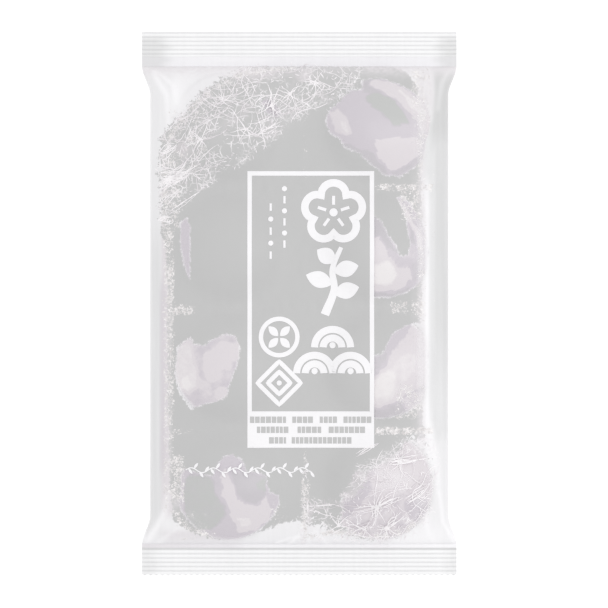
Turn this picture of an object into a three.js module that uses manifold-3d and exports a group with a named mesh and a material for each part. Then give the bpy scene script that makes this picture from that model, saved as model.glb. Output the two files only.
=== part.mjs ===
// A flow pack of mochi rice cakes: a clear film sleeve drawn over a tray of eight round cakes in two
// columns and four rows, crimped flat at its head and foot and sealed along its back.
// Millimetres, +Z up. The pack lies on its back with its printed face up, its head towards +Y.
// The origin is on the resting plane, under the middle of the pack.
import * as THREE from "three";
import { mergeVertices, toCreasedNormals } from "three/addons/utils/BufferGeometryUtils.js";
import Module from "manifold-3d";

// Overall size.
const PACK_LENGTH = 206.5;
const SEAL_WIDTH = 119.5;
const BODY_WIDTH = 113.4;
const CAKE_TOP = 24.6;

// End seals: the ribbed strips at the head and the foot.
const HEAD_SEAL_DEPTH = 9.6;
const FOOT_SEAL_DEPTH = 10.6;
const HEAD_RIBS = 6;
const FOOT_RIBS = 6.5;
const SEAL_LEVEL = 9.5; // height of the two crimped strips, and of the sleeve's widest line
const SEAL_THICKNESS = 0.7;
const RIB_HEIGHT = 0.6;
const HEAD_FLANGE = 3.4; // plain strip between the head's ribs and the sleeve's neck
const FOOT_FLANGE = 1.2;
const TOOTH_PITCH = 2.2; // zigzag cut along the foot
const TOOTH_DEPTH = 0.6;

// The sleeve over the tray and the cakes.
const END_RUN = 22; // length over which the roof falls to a seal
const WAIST_RUN = 11; // length over which the sleeve draws in from its neck
const END_POWER = 2.2; // roundness of the roof's fall to a seal
const SHOULDER_POWER = 3; // roundness of the roof's long shoulders
const HEEL_POWER = 7; // roundness of the bottom corners
const HEEL_SINK = 0.55; // how much lower than the floor the heel's curve aims, which leaves a flat base
const FLOOR_RUN = 16; // length over which the base rises to a seal
const DRAPE_HEIGHT = 18.8; // film between the cakes

// Cakes, two columns by four rows.
const COLUMN_PITCH = 57;
const ROW_PITCH = 45.3;
const COLUMNS = 2;
const ROWS = 4;
const TRAY_X = 1.8; // the tray lies a little off the middle of the sleeve, to the right
const TRAY_Y = -1.1; // and nearer to the foot
const CAKE_RADIUS = 21;
const CROWN_DROP = 6.4; // from the middle of a cake to the film over its rim
const CROWN_POWER = 2.4; // 2 gives a round crown, more a flatter one
const DRAPE_STIFFNESS = 0.9; // per mm; how tightly the film follows the cakes

// The back seal: a strip folded flat in the channel between the two columns of the tray.
const CHANNEL_HALF = 8.6;
const CHANNEL_DEPTH = 0.9;
const FIN_HALF = 6;
const FIN_THICKNESS = 0.6;
const STEP = 0.3;

// Mesh density. A crowding of 0 spreads the points evenly, and 1 sets them closest at the ends.
const ROOF_POINTS = 36;
const ROOF_CROWDING = 0.75;
const STATIONS = 52;
const STATION_CROWDING = 0.65;
const CREASE = Math.PI / 6; // edges sharper than this are shaded as edges

const headSealLine = PACK_LENGTH / 2 - HEAD_SEAL_DEPTH;
const footSealLine = -PACK_LENGTH / 2 + FOOT_SEAL_DEPTH;
const headNeck = headSealLine - HEAD_FLANGE;
const footNeck = footSealLine + FOOT_FLANGE;

const clamp01 = (t) => Math.min(1, Math.max(0, t));
const smoothstep = (t) => clamp01(t) ** 2 * (3 - 2 * clamp01(t));
const roundedFall = (t, power) => (1 - clamp01(t) ** power) ** (1 / power);

const cakeCentres = [];
for (let column = 0; column < COLUMNS; column++)
  for (let row = 0; row < ROWS; row++)
    cakeCentres.push(
      new THREE.Vector2(
        TRAY_X + (column - (COLUMNS - 1) / 2) * COLUMN_PITCH,
        TRAY_Y + (row - (ROWS - 1) / 2) * ROW_PITCH,
      ),
    );

// How far a station is inside the nearer neck, negative over a flange or a seal.
const insideNeck = (y) => Math.min(headNeck - y, y - footNeck);

const halfWidth = (y) =>
  THREE.MathUtils.lerp(SEAL_WIDTH, BODY_WIDTH, smoothstep(insideNeck(y) / WAIST_RUN)) / 2;

// The middle of the two films where they are sealed: level over the flanges, a zigzag over the ribs.
function sealHeight(y) {
  const head = ((y - headSealLine) / HEAD_SEAL_DEPTH) * HEAD_RIBS;
  const foot = ((footSealLine - y) / FOOT_SEAL_DEPTH) * FOOT_RIBS;
  const phase = 2 * Math.max(0, head, foot);
  return SEAL_LEVEL + RIB_HEIGHT * (1 - Math.abs((phase % 2) - 1));
}

// The film over the cakes: a soft maximum of one crown for each cake and the level between them.
function drape(x, y) {
  const place = new THREE.Vector2(x, y);
  const reach = (centre) => place.distanceTo(centre) / CAKE_RADIUS;
  const crowns = cakeCentres.map((centre) => CAKE_TOP - CROWN_DROP * reach(centre) ** CROWN_POWER);
  const pull = (z) => Math.exp(DRAPE_STIFFNESS * (z - CAKE_TOP));
  const sum = [DRAPE_HEIGHT, ...crowns].reduce((total, z) => total + pull(z), 0);
  return CAKE_TOP + Math.log(sum) / DRAPE_STIFFNESS;
}

// How full the sleeve is across its width: 1 in the middle, 0 along its long edges.
const fullness = (x, y, power) => roundedFall(Math.abs(x) / halfWidth(y), power);

function roofHeight(x, y) {
  if (insideNeck(y) < 0) return sealHeight(y) + SEAL_THICKNESS / 2;
  const ends = roundedFall(1 - insideNeck(y) / END_RUN, END_POWER);
  const rise = Math.max(0, drape(x, y) - SEAL_LEVEL) * ends;
  return SEAL_LEVEL + (SEAL_THICKNESS / 2 + rise) * fullness(x, y, SHOULDER_POWER);
}

// The folded back seal stands in a channel, so that the pack rests on the tray's two columns.
function channelRise(x) {
  const off = Math.abs(x - TRAY_X);
  const channel = CHANNEL_DEPTH * clamp01((CHANNEL_HALF - off) / STEP);
  const fin = FIN_THICKNESS * clamp01((FIN_HALF - off) / STEP);
  return channel - fin;
}

function baseHeight(x, y) {
  if (insideNeck(y) < 0) return sealHeight(y) - SEAL_THICKNESS / 2;
  const ends = roundedFall(1 - insideNeck(y) / FLOOR_RUN, SHOULDER_POWER);
  const sides = fullness(x, y, HEEL_POWER);
  const drop = (SEAL_LEVEL + HEEL_SINK) * ends * sides;
  const level = Math.max(0, SEAL_LEVEL - drop) + channelRise(x) * ends;
  return Math.min(level, SEAL_LEVEL - (SEAL_THICKNESS / 2) * sides);
}

// Numbers from -1 to 1 that lie closer together towards both ends.
function crowded(count, crowding) {
  return Array.from({ length: count }, (_, i) => {
    const even = (2 * i) / (count - 1) - 1;
    return THREE.MathUtils.lerp(even, Math.sin((even * Math.PI) / 2), crowding);
  });
}

// Places across the base, from right to left, on a section with this half width: shares of it for
// the heels and the flats, and the edges of the channel and the fin where they are.
function baseStations(reach) {
  const edges = [CHANNEL_HALF, CHANNEL_HALF - STEP, FIN_HALF, FIN_HALF - STEP];
  const heels = [0.993, 0.97, 0.93, 0.87, 0.78, 0.5].map((share) => share * reach);
  const [rightEdges, leftEdges] = [1, -1].map((side) => edges.map((edge) => TRAY_X + side * edge));
  return [...heels, ...rightEdges, ...leftEdges.reverse(), ...heels.reverse().map((x) => -x)];
}

// One closed section of the film: the roof from left to right, then the base back again.
function section(y) {
  const reach = halfWidth(y);
  const roof = crowded(ROOF_POINTS, ROOF_CROWDING).map((share) => share * reach);
  return [
    ...roof.map((x) => new THREE.Vector3(x, y, roofHeight(x, y))),
    ...baseStations(reach).map((x) => new THREE.Vector3(x, y, baseHeight(x, y))),
  ];
}

// A closed mesh through a row of closed sections, with a fan over each end.
function loft(sections) {
  const around = sections[0].length;
  const positions = sections.flat().flatMap((p) => [p.x, p.y, p.z]);
  const faces = [];
  for (let s = 0; s + 1 < sections.length; s++)
    for (let i = 0; i < around; i++) {
      const [a, b] = [s * around + i, s * around + ((i + 1) % around)];
      faces.push([a, b, b + around], [a, b + around, a + around]);
    }
  [sections[0], sections.at(-1)].forEach((ring, end) => {
    const middle = ring.reduce((sum, p) => sum.add(p), new THREE.Vector3()).divideScalar(around);
    const first = end * (sections.length - 1) * around;
    const hub = positions.push(middle.x, middle.y, middle.z) / 3 - 1;
    for (let i = 0; i < around; i++) {
      const [a, b] = [first + i, first + ((i + 1) % around)];
      faces.push(end ? [a, b, hub] : [b, a, hub]);
    }
  });
  const geometry = new THREE.BufferGeometry();
  geometry.setAttribute("position", new THREE.Float32BufferAttribute(positions, 3));
  geometry.setIndex(faces.flat());
  return geometry;
}

// The film from edge to edge: the foot's ribs, the sleeve from neck to neck, and the head's ribs.
function film() {
  const [middle, half] = [(headNeck + footNeck) / 2, (headNeck - footNeck) / 2];
  const sleeve = crowded(STATIONS, STATION_CROWDING).map((share) => middle + share * half);
  const ridges = (line, edge, ribs) =>
    Array.from({ length: 2 * ribs + 1 }, (_, i) => THREE.MathUtils.lerp(line, edge, i / (2 * ribs)));
  const foot = ridges(footSealLine, -PACK_LENGTH / 2, FOOT_RIBS).reverse();
  const head = ridges(headSealLine, PACK_LENGTH / 2, HEAD_RIBS);
  return loft([...foot, ...sleeve, ...head].map(section));
}

// The zigzag blade's cut: what lies past the teeth at the foot.
function toothCut() {
  const edge = -PACK_LENGTH / 2;
  const teeth = Math.round(SEAL_WIDTH / TOOTH_PITCH);
  const pitch = SEAL_WIDTH / teeth;
  const shape = new THREE.Shape();
  shape.moveTo(-SEAL_WIDTH / 2 - pitch, edge - TOOTH_DEPTH);
  for (let i = -1; i <= teeth; i++) {
    const x = -SEAL_WIDTH / 2 + i * pitch;
    shape.lineTo(x, edge + TOOTH_DEPTH);
    shape.lineTo(x + pitch / 2, edge);
  }
  shape.lineTo(SEAL_WIDTH / 2 + pitch, edge - TOOTH_DEPTH);
  shape.closePath();
  const depth = 4 * (SEAL_THICKNESS + RIB_HEIGHT);
  const cut = new THREE.ExtrudeGeometry(shape, { depth, bevelEnabled: false });
  return cut.translate(0, 0, SEAL_LEVEL - depth / 2);
}

const wasm = await Module();
wasm.setup();

// Merges a geometry's shared corners and makes it a solid.
function solid(geometry) {
  geometry.deleteAttribute("normal");
  geometry.deleteAttribute("uv");
  const merged = mergeVertices(geometry);
  const vertProperties = new Float32Array(merged.getAttribute("position").array);
  const triVerts = new Uint32Array(merged.getIndex().array);
  return new wasm.Manifold(new wasm.Mesh({ numProp: 3, vertProperties, triVerts }));
}

function geometryOf(made) {
  const { vertProperties, triVerts } = made.getMesh();
  const geometry = new THREE.BufferGeometry();
  geometry.setAttribute("position", new THREE.BufferAttribute(new Float32Array(vertProperties), 3));
  geometry.setIndex(new THREE.BufferAttribute(new Uint32Array(triVerts), 1));
  return toCreasedNormals(geometry, CREASE);
}

function filmPack() {
  const made = solid(film()).subtract(solid(toothCut()));
  const clear = new THREE.MeshStandardMaterial({
    name: "clear film over mauve cakes",
    color: new THREE.Color().setRGB(0.82, 0.8, 0.82, THREE.SRGBColorSpace),
    roughness: 0.3,
    metalness: 0,
  });
  const mesh = new THREE.Mesh(geometryOf(made), clear);
  mesh.name = "film_pack";
  return mesh;
}

const pack = new THREE.Group();
pack.name = "mochi rice cake pack";
pack.add(filmPack());

export default pack;
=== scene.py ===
"""Dresses a sealed flow pack of eight mochi rice cakes.

The solid film_pack gives the size. These pieces replace it: the clear printed film with its crimped
end seals and its folded back seal, the tray, the eight cakes, the starch round them and the print.
Lengths are in metres. +Z points up out of the printed face, and +Y towards the head seal.
"""

import math
import random

import bmesh
import bpy
from bpy.props import FloatProperty, FloatVectorProperty, IntProperty, PointerProperty
from bpy.types import Operator, Panel, PropertyGroup
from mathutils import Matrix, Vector, noise


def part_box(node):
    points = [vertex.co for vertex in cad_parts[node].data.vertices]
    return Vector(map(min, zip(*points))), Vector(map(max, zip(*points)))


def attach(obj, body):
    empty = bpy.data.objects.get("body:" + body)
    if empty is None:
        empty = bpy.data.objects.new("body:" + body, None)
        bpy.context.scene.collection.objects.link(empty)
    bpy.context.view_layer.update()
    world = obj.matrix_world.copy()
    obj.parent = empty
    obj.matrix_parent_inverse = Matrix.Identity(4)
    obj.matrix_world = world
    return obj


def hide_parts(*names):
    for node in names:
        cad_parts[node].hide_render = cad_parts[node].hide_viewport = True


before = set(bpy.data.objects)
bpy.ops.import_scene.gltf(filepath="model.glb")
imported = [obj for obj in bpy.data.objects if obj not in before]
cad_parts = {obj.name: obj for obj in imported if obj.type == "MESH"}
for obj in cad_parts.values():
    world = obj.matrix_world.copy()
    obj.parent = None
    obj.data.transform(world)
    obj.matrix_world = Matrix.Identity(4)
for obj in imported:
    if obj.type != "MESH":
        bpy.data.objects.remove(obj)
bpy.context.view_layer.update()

bl_info = {
    "name": "Mochi rice cake pack",
    "version": (1, 0, 0),
    "blender": (4, 5, 0),
    "location": "3D View > Sidebar > Rice Cakes",
    "description": "Makes a clear flow pack of eight mochi rice cakes, piece by piece",
    "category": "Mesh",
}

MM = 0.001
PACK_NODE = "film_pack"
BODY = "root"
PACK_LOW, PACK_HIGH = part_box(PACK_NODE)


# ---------------------------------------------------------------- settings


def shown(red, green, blue):
    """The linear colour of three display values from 0 to 255."""
    shares = [value / 255 for value in (red, green, blue)]
    return tuple(s / 12.92 if s <= 0.04045 else ((s + 0.055) / 1.055) ** 2.4 for s in shares)


def length(name, description, metres):
    return FloatProperty(
        name=name, description=description, default=metres, unit="LENGTH", precision=4
    )


def colour(name, description, red, green, blue):
    return FloatVectorProperty(
        name=name, description=description, default=shown(red, green, blue), subtype="COLOR", size=3
    )


class FilmSizes(PropertyGroup):
    """Sizes of the film, its end seals and its back seal."""

    length: length("Length", "From edge to edge of the end seals", PACK_HIGH.y - PACK_LOW.y)
    seal_width: length("Seal width", "Width of the end seals", PACK_HIGH.x - PACK_LOW.x)
    body_width: length("Body width", "Width between the necks", 113.4 * MM)
    head_seal: length("Head seal", "Depth of the ribbed strip at the head", 9.6 * MM)
    foot_seal: length("Foot seal", "Depth of the ribbed strip at the foot", 10.6 * MM)
    head_flange: length("Head flange", "Plain strip between the head's ribs and neck", 3.4 * MM)
    foot_flange: length("Foot flange", "Plain strip between the foot's ribs and neck", 1.2 * MM)
    seal_level: length("Seal level", "Height of the end seals over the floor", 9.5 * MM)
    seal_thickness: length("Seal thickness", "Both films where they are sealed", 0.7 * MM)
    rib_height: length("Rib height", "Height of the crimped ribs", 0.26 * MM)
    head_ribs: FloatProperty(name="Head ribs", description="Ribs of the head seal", default=6.0)
    foot_ribs: FloatProperty(name="Foot ribs", description="Ribs of the foot seal", default=6.5)
    tooth_pitch: length("Tooth pitch", "Spacing of the foot's zigzag teeth", 2.2 * MM)
    tooth_depth: length("Tooth depth", "Depth of the foot's zigzag teeth", 0.6 * MM)
    end_run: length("End run", "Length over which the roof falls to a seal", 22 * MM)
    floor_run: length("Floor run", "Length over which the base rises to a seal", 16 * MM)
    waist_run: length("Waist run", "Length over which the sides draw in", 11 * MM)
    drape_height: length("Drape height", "Height of the film between the cakes", 18.8 * MM)
    channel_half: length("Channel half", "Half the width of the back seal's channel", 8.6 * MM)
    channel_depth: length("Channel depth", "Depth of the back seal's channel", 0.9 * MM)
    fin_half: length("Back seal half", "Half the width of the folded back seal", 6 * MM)


class CakeSizes(PropertyGroup):
    """Sizes and places of the cakes."""

    radius: length("Radius", "Half the width of a cell", 21 * MM)
    room: length("Room", "Between a cake and its cell", 0.3 * MM)
    waist: length("Waist", "Height of a cake's widest place", 15.5 * MM)
    top: length("Top", "Height of the film over the middle of a cake", 24.6 * MM)
    crown_drop: length("Crown drop", "From a cake's middle to the film over its rim", 6.4 * MM)
    column_pitch: length("Column pitch", "Between the two columns", 57 * MM)
    row_pitch: length("Row pitch", "Between two rows", 45.3 * MM)
    across: length("Offset across", "The tray's offset to the right", 1.8 * MM)
    along: length("Offset along", "The tray's offset towards the head", -1.1 * MM)
    columns: IntProperty(name="Columns", description="Columns of cakes", default=2)
    rows: IntProperty(name="Rows", description="Rows of cakes", default=4)


class TraySizes(PropertyGroup):
    """Sizes of the thermoformed tray."""

    half_width: length("Half width", "Half the tray's width over its flange", 52.4 * MM)
    half_length: length("Half length", "Half the tray's length over its flange", 88.6 * MM)
    corner: length("Corner", "Radius of the tray's corners", 13 * MM)
    sheet: length("Sheet", "Thickness of the tray's sheet", 0.35 * MM)
    floor: length("Floor", "Height of the cells' floors", 0.75 * MM)
    rim: length("Rim", "Height of the tray's flange", 14.6 * MM)
    divider: length("Divider", "Height between the cells", 17.2 * MM)


class PrintSizes(PropertyGroup):
    """Sizes and places of the label."""

    label_width: length("Label width", "Over the white border", 48.0 * MM)
    label_length: length("Label length", "Over the white border", 104.75 * MM)
    label_across: length("Label across", "Place of the label's middle", 4.37 * MM)
    label_along: length("Label along", "Place of the label's middle", -2.17 * MM)
    border: length("Border", "Width of the white border", 1.7 * MM)
    plate: length("Plate", "Depth of the white plate at the label's foot", 13.8 * MM)
    ink_lift: length("Ink lift", "Height of the white ink over the film", 0.1 * MM)
    ink_sheet: length("Ink sheet", "Thickness of the white ink", 0.05 * MM)


class FinishColours(PropertyGroup):
    """Colours of the film, the print, the cakes and the tray, and of the shade and highlights painted
    on them.
    """

    ink: colour("Grey ink", "The printed panel", 198, 198, 198)
    white_ink: colour("White ink", "The label's border and motifs", 250, 249, 251)
    fibre: colour("Fibre ink", "The printed paper fibres", 253, 250, 252)
    haze: colour("Haze", "Film where it is slack", 242, 241, 243)
    mist: colour("Mist", "Haze over the ink and the cakes' rims", 231, 227, 230)
    # Painted highlight: the light that the film mirrors on its right shoulder, corners and seal
    # flanges, and on its folds, where the creased film also whitens a little.
    painted_highlight: colour("Shine", "Film where it is creased", 252, 251, 253)
    blush: colour("Blush", "Hazy film next to the cakes", 222, 216, 220)
    # Painted shade on the film's steep sides, for the darker surroundings that they mirror.
    painted_flank_shade: colour("Flank", "The film's steep sides", 225, 225, 226)
    crimp: colour("Crimp", "The crimped end seals", 253, 253, 254)
    # Painted shade in the grooves between the crimped ribs.
    groove: colour("Groove", "The lines between the ribs", 220, 220, 221)
    flange: colour("Flange", "The plain film beside the ribs", 242, 241, 244)
    # Painted shade: the seals' darker ends, darker streaks and corners on the film, and a dark line
    # where the foot's ribs begin.
    painted_shade: colour("Seal end", "The worn ends of the seals", 200, 200, 200)
    # Partly painted shade on the cakes and partly dark filling close under the dough.
    shadow: colour("Dark dough", "Dough over the most filling", 194, 195, 194)
    plum: colour("Plum dough", "Dough over dark filling", 199, 195, 200)
    mauve: colour("Mauve dough", "The plain dough", 207, 201, 208)
    # Partly starch dusting and partly a painted highlight on the dough.
    pale: colour("Pale dough", "Dusted dough", 223, 217, 221)
    # On the dough mostly a painted highlight; also the loose starch crumbs' own colour.
    cream: colour("Cream dough", "The most thickly dusted dough", 237, 233, 234)
    tray: colour("Tray", "The tray's milky plastic", 240, 239, 241)
    glint: colour("Glint", "Fine creases that catch the light", 250, 247, 247)
    # The duller specks of the painted glints.
    dull_glint: colour("Fleck", "The duller of the fine creases", 214, 210, 210)


class StudioSettings(PropertyGroup):
    """The camera and the light."""

    framed: length("Framed width", "Width of what the camera takes in", 231.04 * MM)
    aim_across: length("Aim across", "Place under the camera", 1.8 * MM)
    aim_along: length("Aim along", "Place under the camera", -0.1 * MM)
    height: length("Height", "Camera's height over the floor", 3.0)
    sky: FloatProperty(name="Sky", description="Brightness of the room's white light", default=0.84)
    strip: FloatProperty(name="Strip", description="Brightness of the side softbox", default=1.8)
    overhead: FloatProperty(name="Overhead", description="Brightness of the top softbox", default=1.6)


class RicePack(PropertyGroup):
    """Everything a user may change."""

    film: PointerProperty(type=FilmSizes)
    cakes: PointerProperty(type=CakeSizes)
    tray: PointerProperty(type=TraySizes)
    label: PointerProperty(type=PrintSizes)
    colours: PointerProperty(type=FinishColours)
    studio: PointerProperty(type=StudioSettings)


# ---------------------------------------------------------------- small sums


def clamp01(t):
    return min(1.0, max(0.0, t))


def smoothstep(t):
    t = clamp01(t)
    return t * t * (3 - 2 * t)


def mix(a, b, share):
    return a + (b - a) * share


def rounded_fall(t, power):
    """1 at 0, falling round to 0 at 1: the higher the power, the squarer the corner."""
    return (1 - clamp01(t) ** power) ** (1 / power)


def bump(distance, width):
    """1 on a line, falling softly to nothing about two widths away."""
    return math.exp(-((distance / width) ** 2))


def band(value, low, high, soft):
    """1 between two places and 0 outside them, with soft edges."""
    return smoothstep((value - low) / soft + 0.5) * smoothstep((high - value) / soft + 0.5)


def wobble(x, y, wave_x, wave_y, seed):
    """Smooth noise from about -1 to 1, with its own wavelength each way."""
    return noise.noise(Vector((x / wave_x, y / wave_y, seed * 7.31)))


def crowded(even, crowding):
    """Moves places from -1 to 1 towards both ends."""
    return mix(even, math.sin(even * math.pi / 2), crowding)


def in_metres(points):
    return [Vector((x * MM, y * MM)) for x, y in points]


def line_distance(x, y, points):
    """Distance to a run of straight lines, and how far along it the nearest place is, from 0 to 1."""
    best = (math.inf, 0.0)
    for i, (a, b) in enumerate(zip(points, points[1:])):
        run = b - a
        along = clamp01(((x - a.x) * run.x + (y - a.y) * run.y) / run.length_squared)
        away = math.hypot(x - a.x - along * run.x, y - a.y - along * run.y)
        best = min(best, (away, (i + along) / (len(points) - 1)))
    return best


def inside_outline(x, y, outline):
    """Distance to a closed outline, positive inside it and negative outside."""
    closed = outline + outline[:1]
    inside = False
    for a, b in zip(closed, closed[1:]):
        if (a.y > y) != (b.y > y) and x < a.x + (y - a.y) / (b.y - a.y) * (b.x - a.x):
            inside = not inside
    away = line_distance(x, y, closed)[0]
    return away if inside else -away


# ---------------------------------------------------------------- the film's form

END_POWER = 2.2
SHOULDER_POWER = 3
HEEL_POWER = 7
HEEL_SINK = 0.55 * MM
CROWN_POWER = 2.4
DRAPE_STIFFNESS = 0.9 / MM
CHANNEL_STEP = 0.6 * MM
# How square a cake is above its waist and below it, and how far its waist stays under the roof.
CROWN_SQUARENESS = 3.0
BOWL_SQUARENESS = 2.4
WAIST_DROP = 2.5 * MM
# Where each seal's first groove lies and how wide a groove is, as shares of a rib.
HEAD_GROOVE = 0.78
FOOT_GROOVE = 0.43
GROOVE_WIDTH = 0.145

# Folds of the film's corners and of its slack at the foot: points, width and height in millimetres.
FOLDS = tuple(
    (in_metres(points), width * MM, height * MM)
    for points, width, height in (
        (((-58.6, 90.0), (-52.0, 86.6), (-48.0, 82.6), (-46.6, 76.0)), 0.9, 0.5),
        (((-55.6, 88.0), (-50.4, 79.0), (-49.2, 66.0)), 1.3, 0.35),
        (((57.4, 89.6), (54.0, 84.0), (52.6, 74.0)), 1.1, 0.14),
        (((49.6, 89.4), (50.2, 80.0), (49.4, 70.0)), 1.5, 0.24),
        (((-57.6, -89.8), (-53.9, -84.4), (-51.2, -79.0), (-50.0, -73.0)), 1.4, 0.45),
        (((-53.0, -90.6), (-49.0, -87.0), (-46.0, -85.0)), 1.1, 0.16),
        (((58.6, -91.0), (54.6, -83.0), (53.2, -72.0)), 0.9, 0.5),
        (((50.6, -90.8), (48.6, -86.0), (47.6, -80.0)), 1.1, 0.35),
        (((-3.6, -91.0), (0.4, -87.4), (2.2, -82.6)), 0.7, 0.4),
        (((3.4, -91.2), (3.6, -87.0), (2.6, -81.0)), 0.6, 0.4),
        (((10.6, -91.0), (6.8, -88.0), (4.6, -84.0)), 0.7, 0.35),
        (((-8.6, -90.9), (-4.0, -89.0), (1.0, -88.4)), 0.6, 0.3),
    )
)


def cake_centres(cakes):
    """The cakes' middles, from the foot's left to the head's right."""
    return [
        Vector((
            cakes.across + (column - (cakes.columns - 1) / 2) * cakes.column_pitch,
            cakes.along + (row - (cakes.rows - 1) / 2) * cakes.row_pitch,
        ))
        for row in range(cakes.rows)
        for column in range(cakes.columns)
    ]


class PackShape:
    """The film's heights over the floor, worked out from its sizes and the cakes'."""

    def __init__(self, pack):
        film, cakes = pack.film, pack.cakes
        half = film.length / 2
        self.head_edge, self.foot_edge = half, -half
        self.head_line = half - film.head_seal
        self.foot_line = -half + film.foot_seal
        self.head_neck = self.head_line - film.head_flange
        self.foot_neck = self.foot_line + film.foot_flange
        self.seal_half, self.body_half = film.seal_width / 2, film.body_width / 2
        self.level, self.thickness = film.seal_level, film.seal_thickness
        self.head_rate = film.head_ribs / film.head_seal
        self.foot_rate = film.foot_ribs / film.foot_seal
        self.rib_height = film.rib_height
        self.end_run, self.floor_run, self.waist_run = film.end_run, film.floor_run, film.waist_run
        self.drape_height, self.middle = film.drape_height, cakes.across
        self.channel_half, self.channel_depth = film.channel_half, film.channel_depth
        self.top, self.drop, self.radius = cakes.top, cakes.crown_drop, cakes.radius
        self.room, self.cake_radius = cakes.room, cakes.radius - cakes.room
        self.cake_waist, self.cake_floor = cakes.waist, pack.tray.floor + cakes.room
        self.centres = cake_centres(cakes)
        rows = range(1, cakes.rows)
        self.creases = [cakes.along + (r - cakes.rows / 2) * cakes.row_pitch for r in rows]

    def inside_neck(self, y):
        return min(self.head_neck - y, y - self.foot_neck)

    def half_width(self, y):
        drawn_in = smoothstep(self.inside_neck(y) / self.waist_run)
        return mix(self.seal_half, self.body_half, drawn_in)

    def fullness(self, x, y, power):
        return rounded_fall(abs(x) / self.half_width(y), power)

    def rib_phase(self, y):
        """How many ribs a place is past the line where they start, 0 on the flanges."""
        return max(0.0, (y - self.head_line) * self.head_rate, (self.foot_line - y) * self.foot_rate)

    def groove(self, y):
        """1 in the bottom of a groove of an end seal, 0 between the grooves and on the flanges."""
        phase = self.rib_phase(y)
        first = HEAD_GROOVE if y > 0 else FOOT_GROOVE
        return bump((phase - first + 0.5) % 1 - 0.5, GROOVE_WIDTH) if phase > 0 else 0.0

    def seal_middle(self, y):
        raised = self.rib_height * smoothstep(self.rib_phase(y) / 0.3)
        return self.level + raised * (1 - self.groove(y))

    def drape(self, x, y):
        total = math.exp(DRAPE_STIFFNESS * (self.drape_height - self.top))
        for centre in self.centres:
            reach = math.hypot(x - centre.x, y - centre.y) / self.radius
            total += math.exp(-DRAPE_STIFFNESS * self.drop * reach**CROWN_POWER)
        return self.top + math.log(total) / DRAPE_STIFFNESS

    def roof(self, x, y):
        ends = rounded_fall(1 - self.inside_neck(y) / self.end_run, END_POWER)
        rise = max(0.0, self.drape(x, y) - self.level) * ends
        return self.level + (self.thickness / 2 + rise) * self.fullness(x, y, SHOULDER_POWER)

    def base(self, x, y):
        ends = rounded_fall(1 - self.inside_neck(y) / self.floor_run, SHOULDER_POWER)
        sides = self.fullness(x, y, HEEL_POWER)
        level = max(0.0, self.level - (self.level + HEEL_SINK) * ends * sides)
        channel = clamp01((self.channel_half - abs(x - self.middle)) / CHANNEL_STEP)
        level += self.channel_depth * channel * ends
        return min(level, self.level - self.thickness / 2 * sides)

    def waist(self, x, y):
        """Height of a cake's widest place, lower where the roof comes down to a seal."""
        return min(self.cake_waist, self.roof(x, y) - WAIST_DROP)

    def underside(self, x, y, away):
        """Height of a cake's underside at a distance from the cake's middle."""
        fall = rounded_fall(away / self.cake_radius, BOWL_SQUARENESS)
        return mix(self.waist(x, y), self.cake_floor, fall)

    def slack(self, x, y):
        """How far the wrinkles lift the roof."""
        inside, edge = self.inside_neck(y), self.half_width(y) - abs(x)
        pleats = 0.34 * MM * bump(inside, 11 * MM) * wobble(x, y, 2.6 * MM, 16 * MM, 1)
        long_folds = 0.3 * MM * bump(edge - 3 * MM, 5 * MM) * wobble(x, y, 1.7 * MM, 26 * MM, 2)
        nearest = min(abs(y - crease) for crease in self.creases)
        puckers = 0.22 * MM * bump(nearest, 4 * MM) * wobble(x, y, 2.6 * MM, 3.4 * MM, 3)
        spine = 0.16 * MM * bump(x - self.middle, 3 * MM) * wobble(x, y, 2.4 * MM, 3.6 * MM, 4)
        ease = 0.14 * MM * wobble(x, y, 11 * MM, 13 * MM, 5)
        lifted = pleats + long_folds + puckers + spine + ease
        for points, width, height in FOLDS:
            away, along = line_distance(x, y, points)
            if away < 3 * width:
                lifted += height * bump(away, width) * (1 - 0.6 * along)
        return lifted * clamp01(edge / (1.6 * MM)) * smoothstep(inside / (1.4 * MM))

    def top_film(self, x, y):
        """The printed face's height, with its wrinkles."""
        return self.roof(x, y) + self.slack(x, y)


# ---------------------------------------------------------------- the print's layout

# Outlines in millimetres. The grey ink covers the panel but for the windows over the cakes.
PANEL = in_metres((
    (-50, 1.5), (-50.5, 20.5), (-52, 27.5), (-52.5, 39.5), (-53, 54.5), (-52.5, 62), (-51, 66),
    (-47.5, 69), (-43.5, 72), (-40.5, 76), (-37.5, 79.5), (-33, 83), (-26, 87), (-22, 90), (0.5, 90.6),
    (17.5, 90.6), (32.5, 90.4), (38.5, 89.5), (42.5, 86), (45.5, 80.5), (46.3, 73.5), (46.3, 20),
    (46, -20), (46.8, -42), (47.2, -54), (48.6, -61), (50.3, -67), (48, -77.5), (44, -82.4),
    (38.5, -86.3), (30.5, -88.6), (22.5, -87.9), (13, -86.5), (8, -83.5), (0.5, -82.5), (-5.5, -83),
    (-9.5, -84.4), (-14, -86), (-21, -88), (-28, -89.4), (-34.5, -88.8), (-40, -87), (-44.5, -84.6),
    (-47.6, -82), (-48.2, -77), (-48.8, -70), (-49.5, -52), (-50, -36.5),
))

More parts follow.
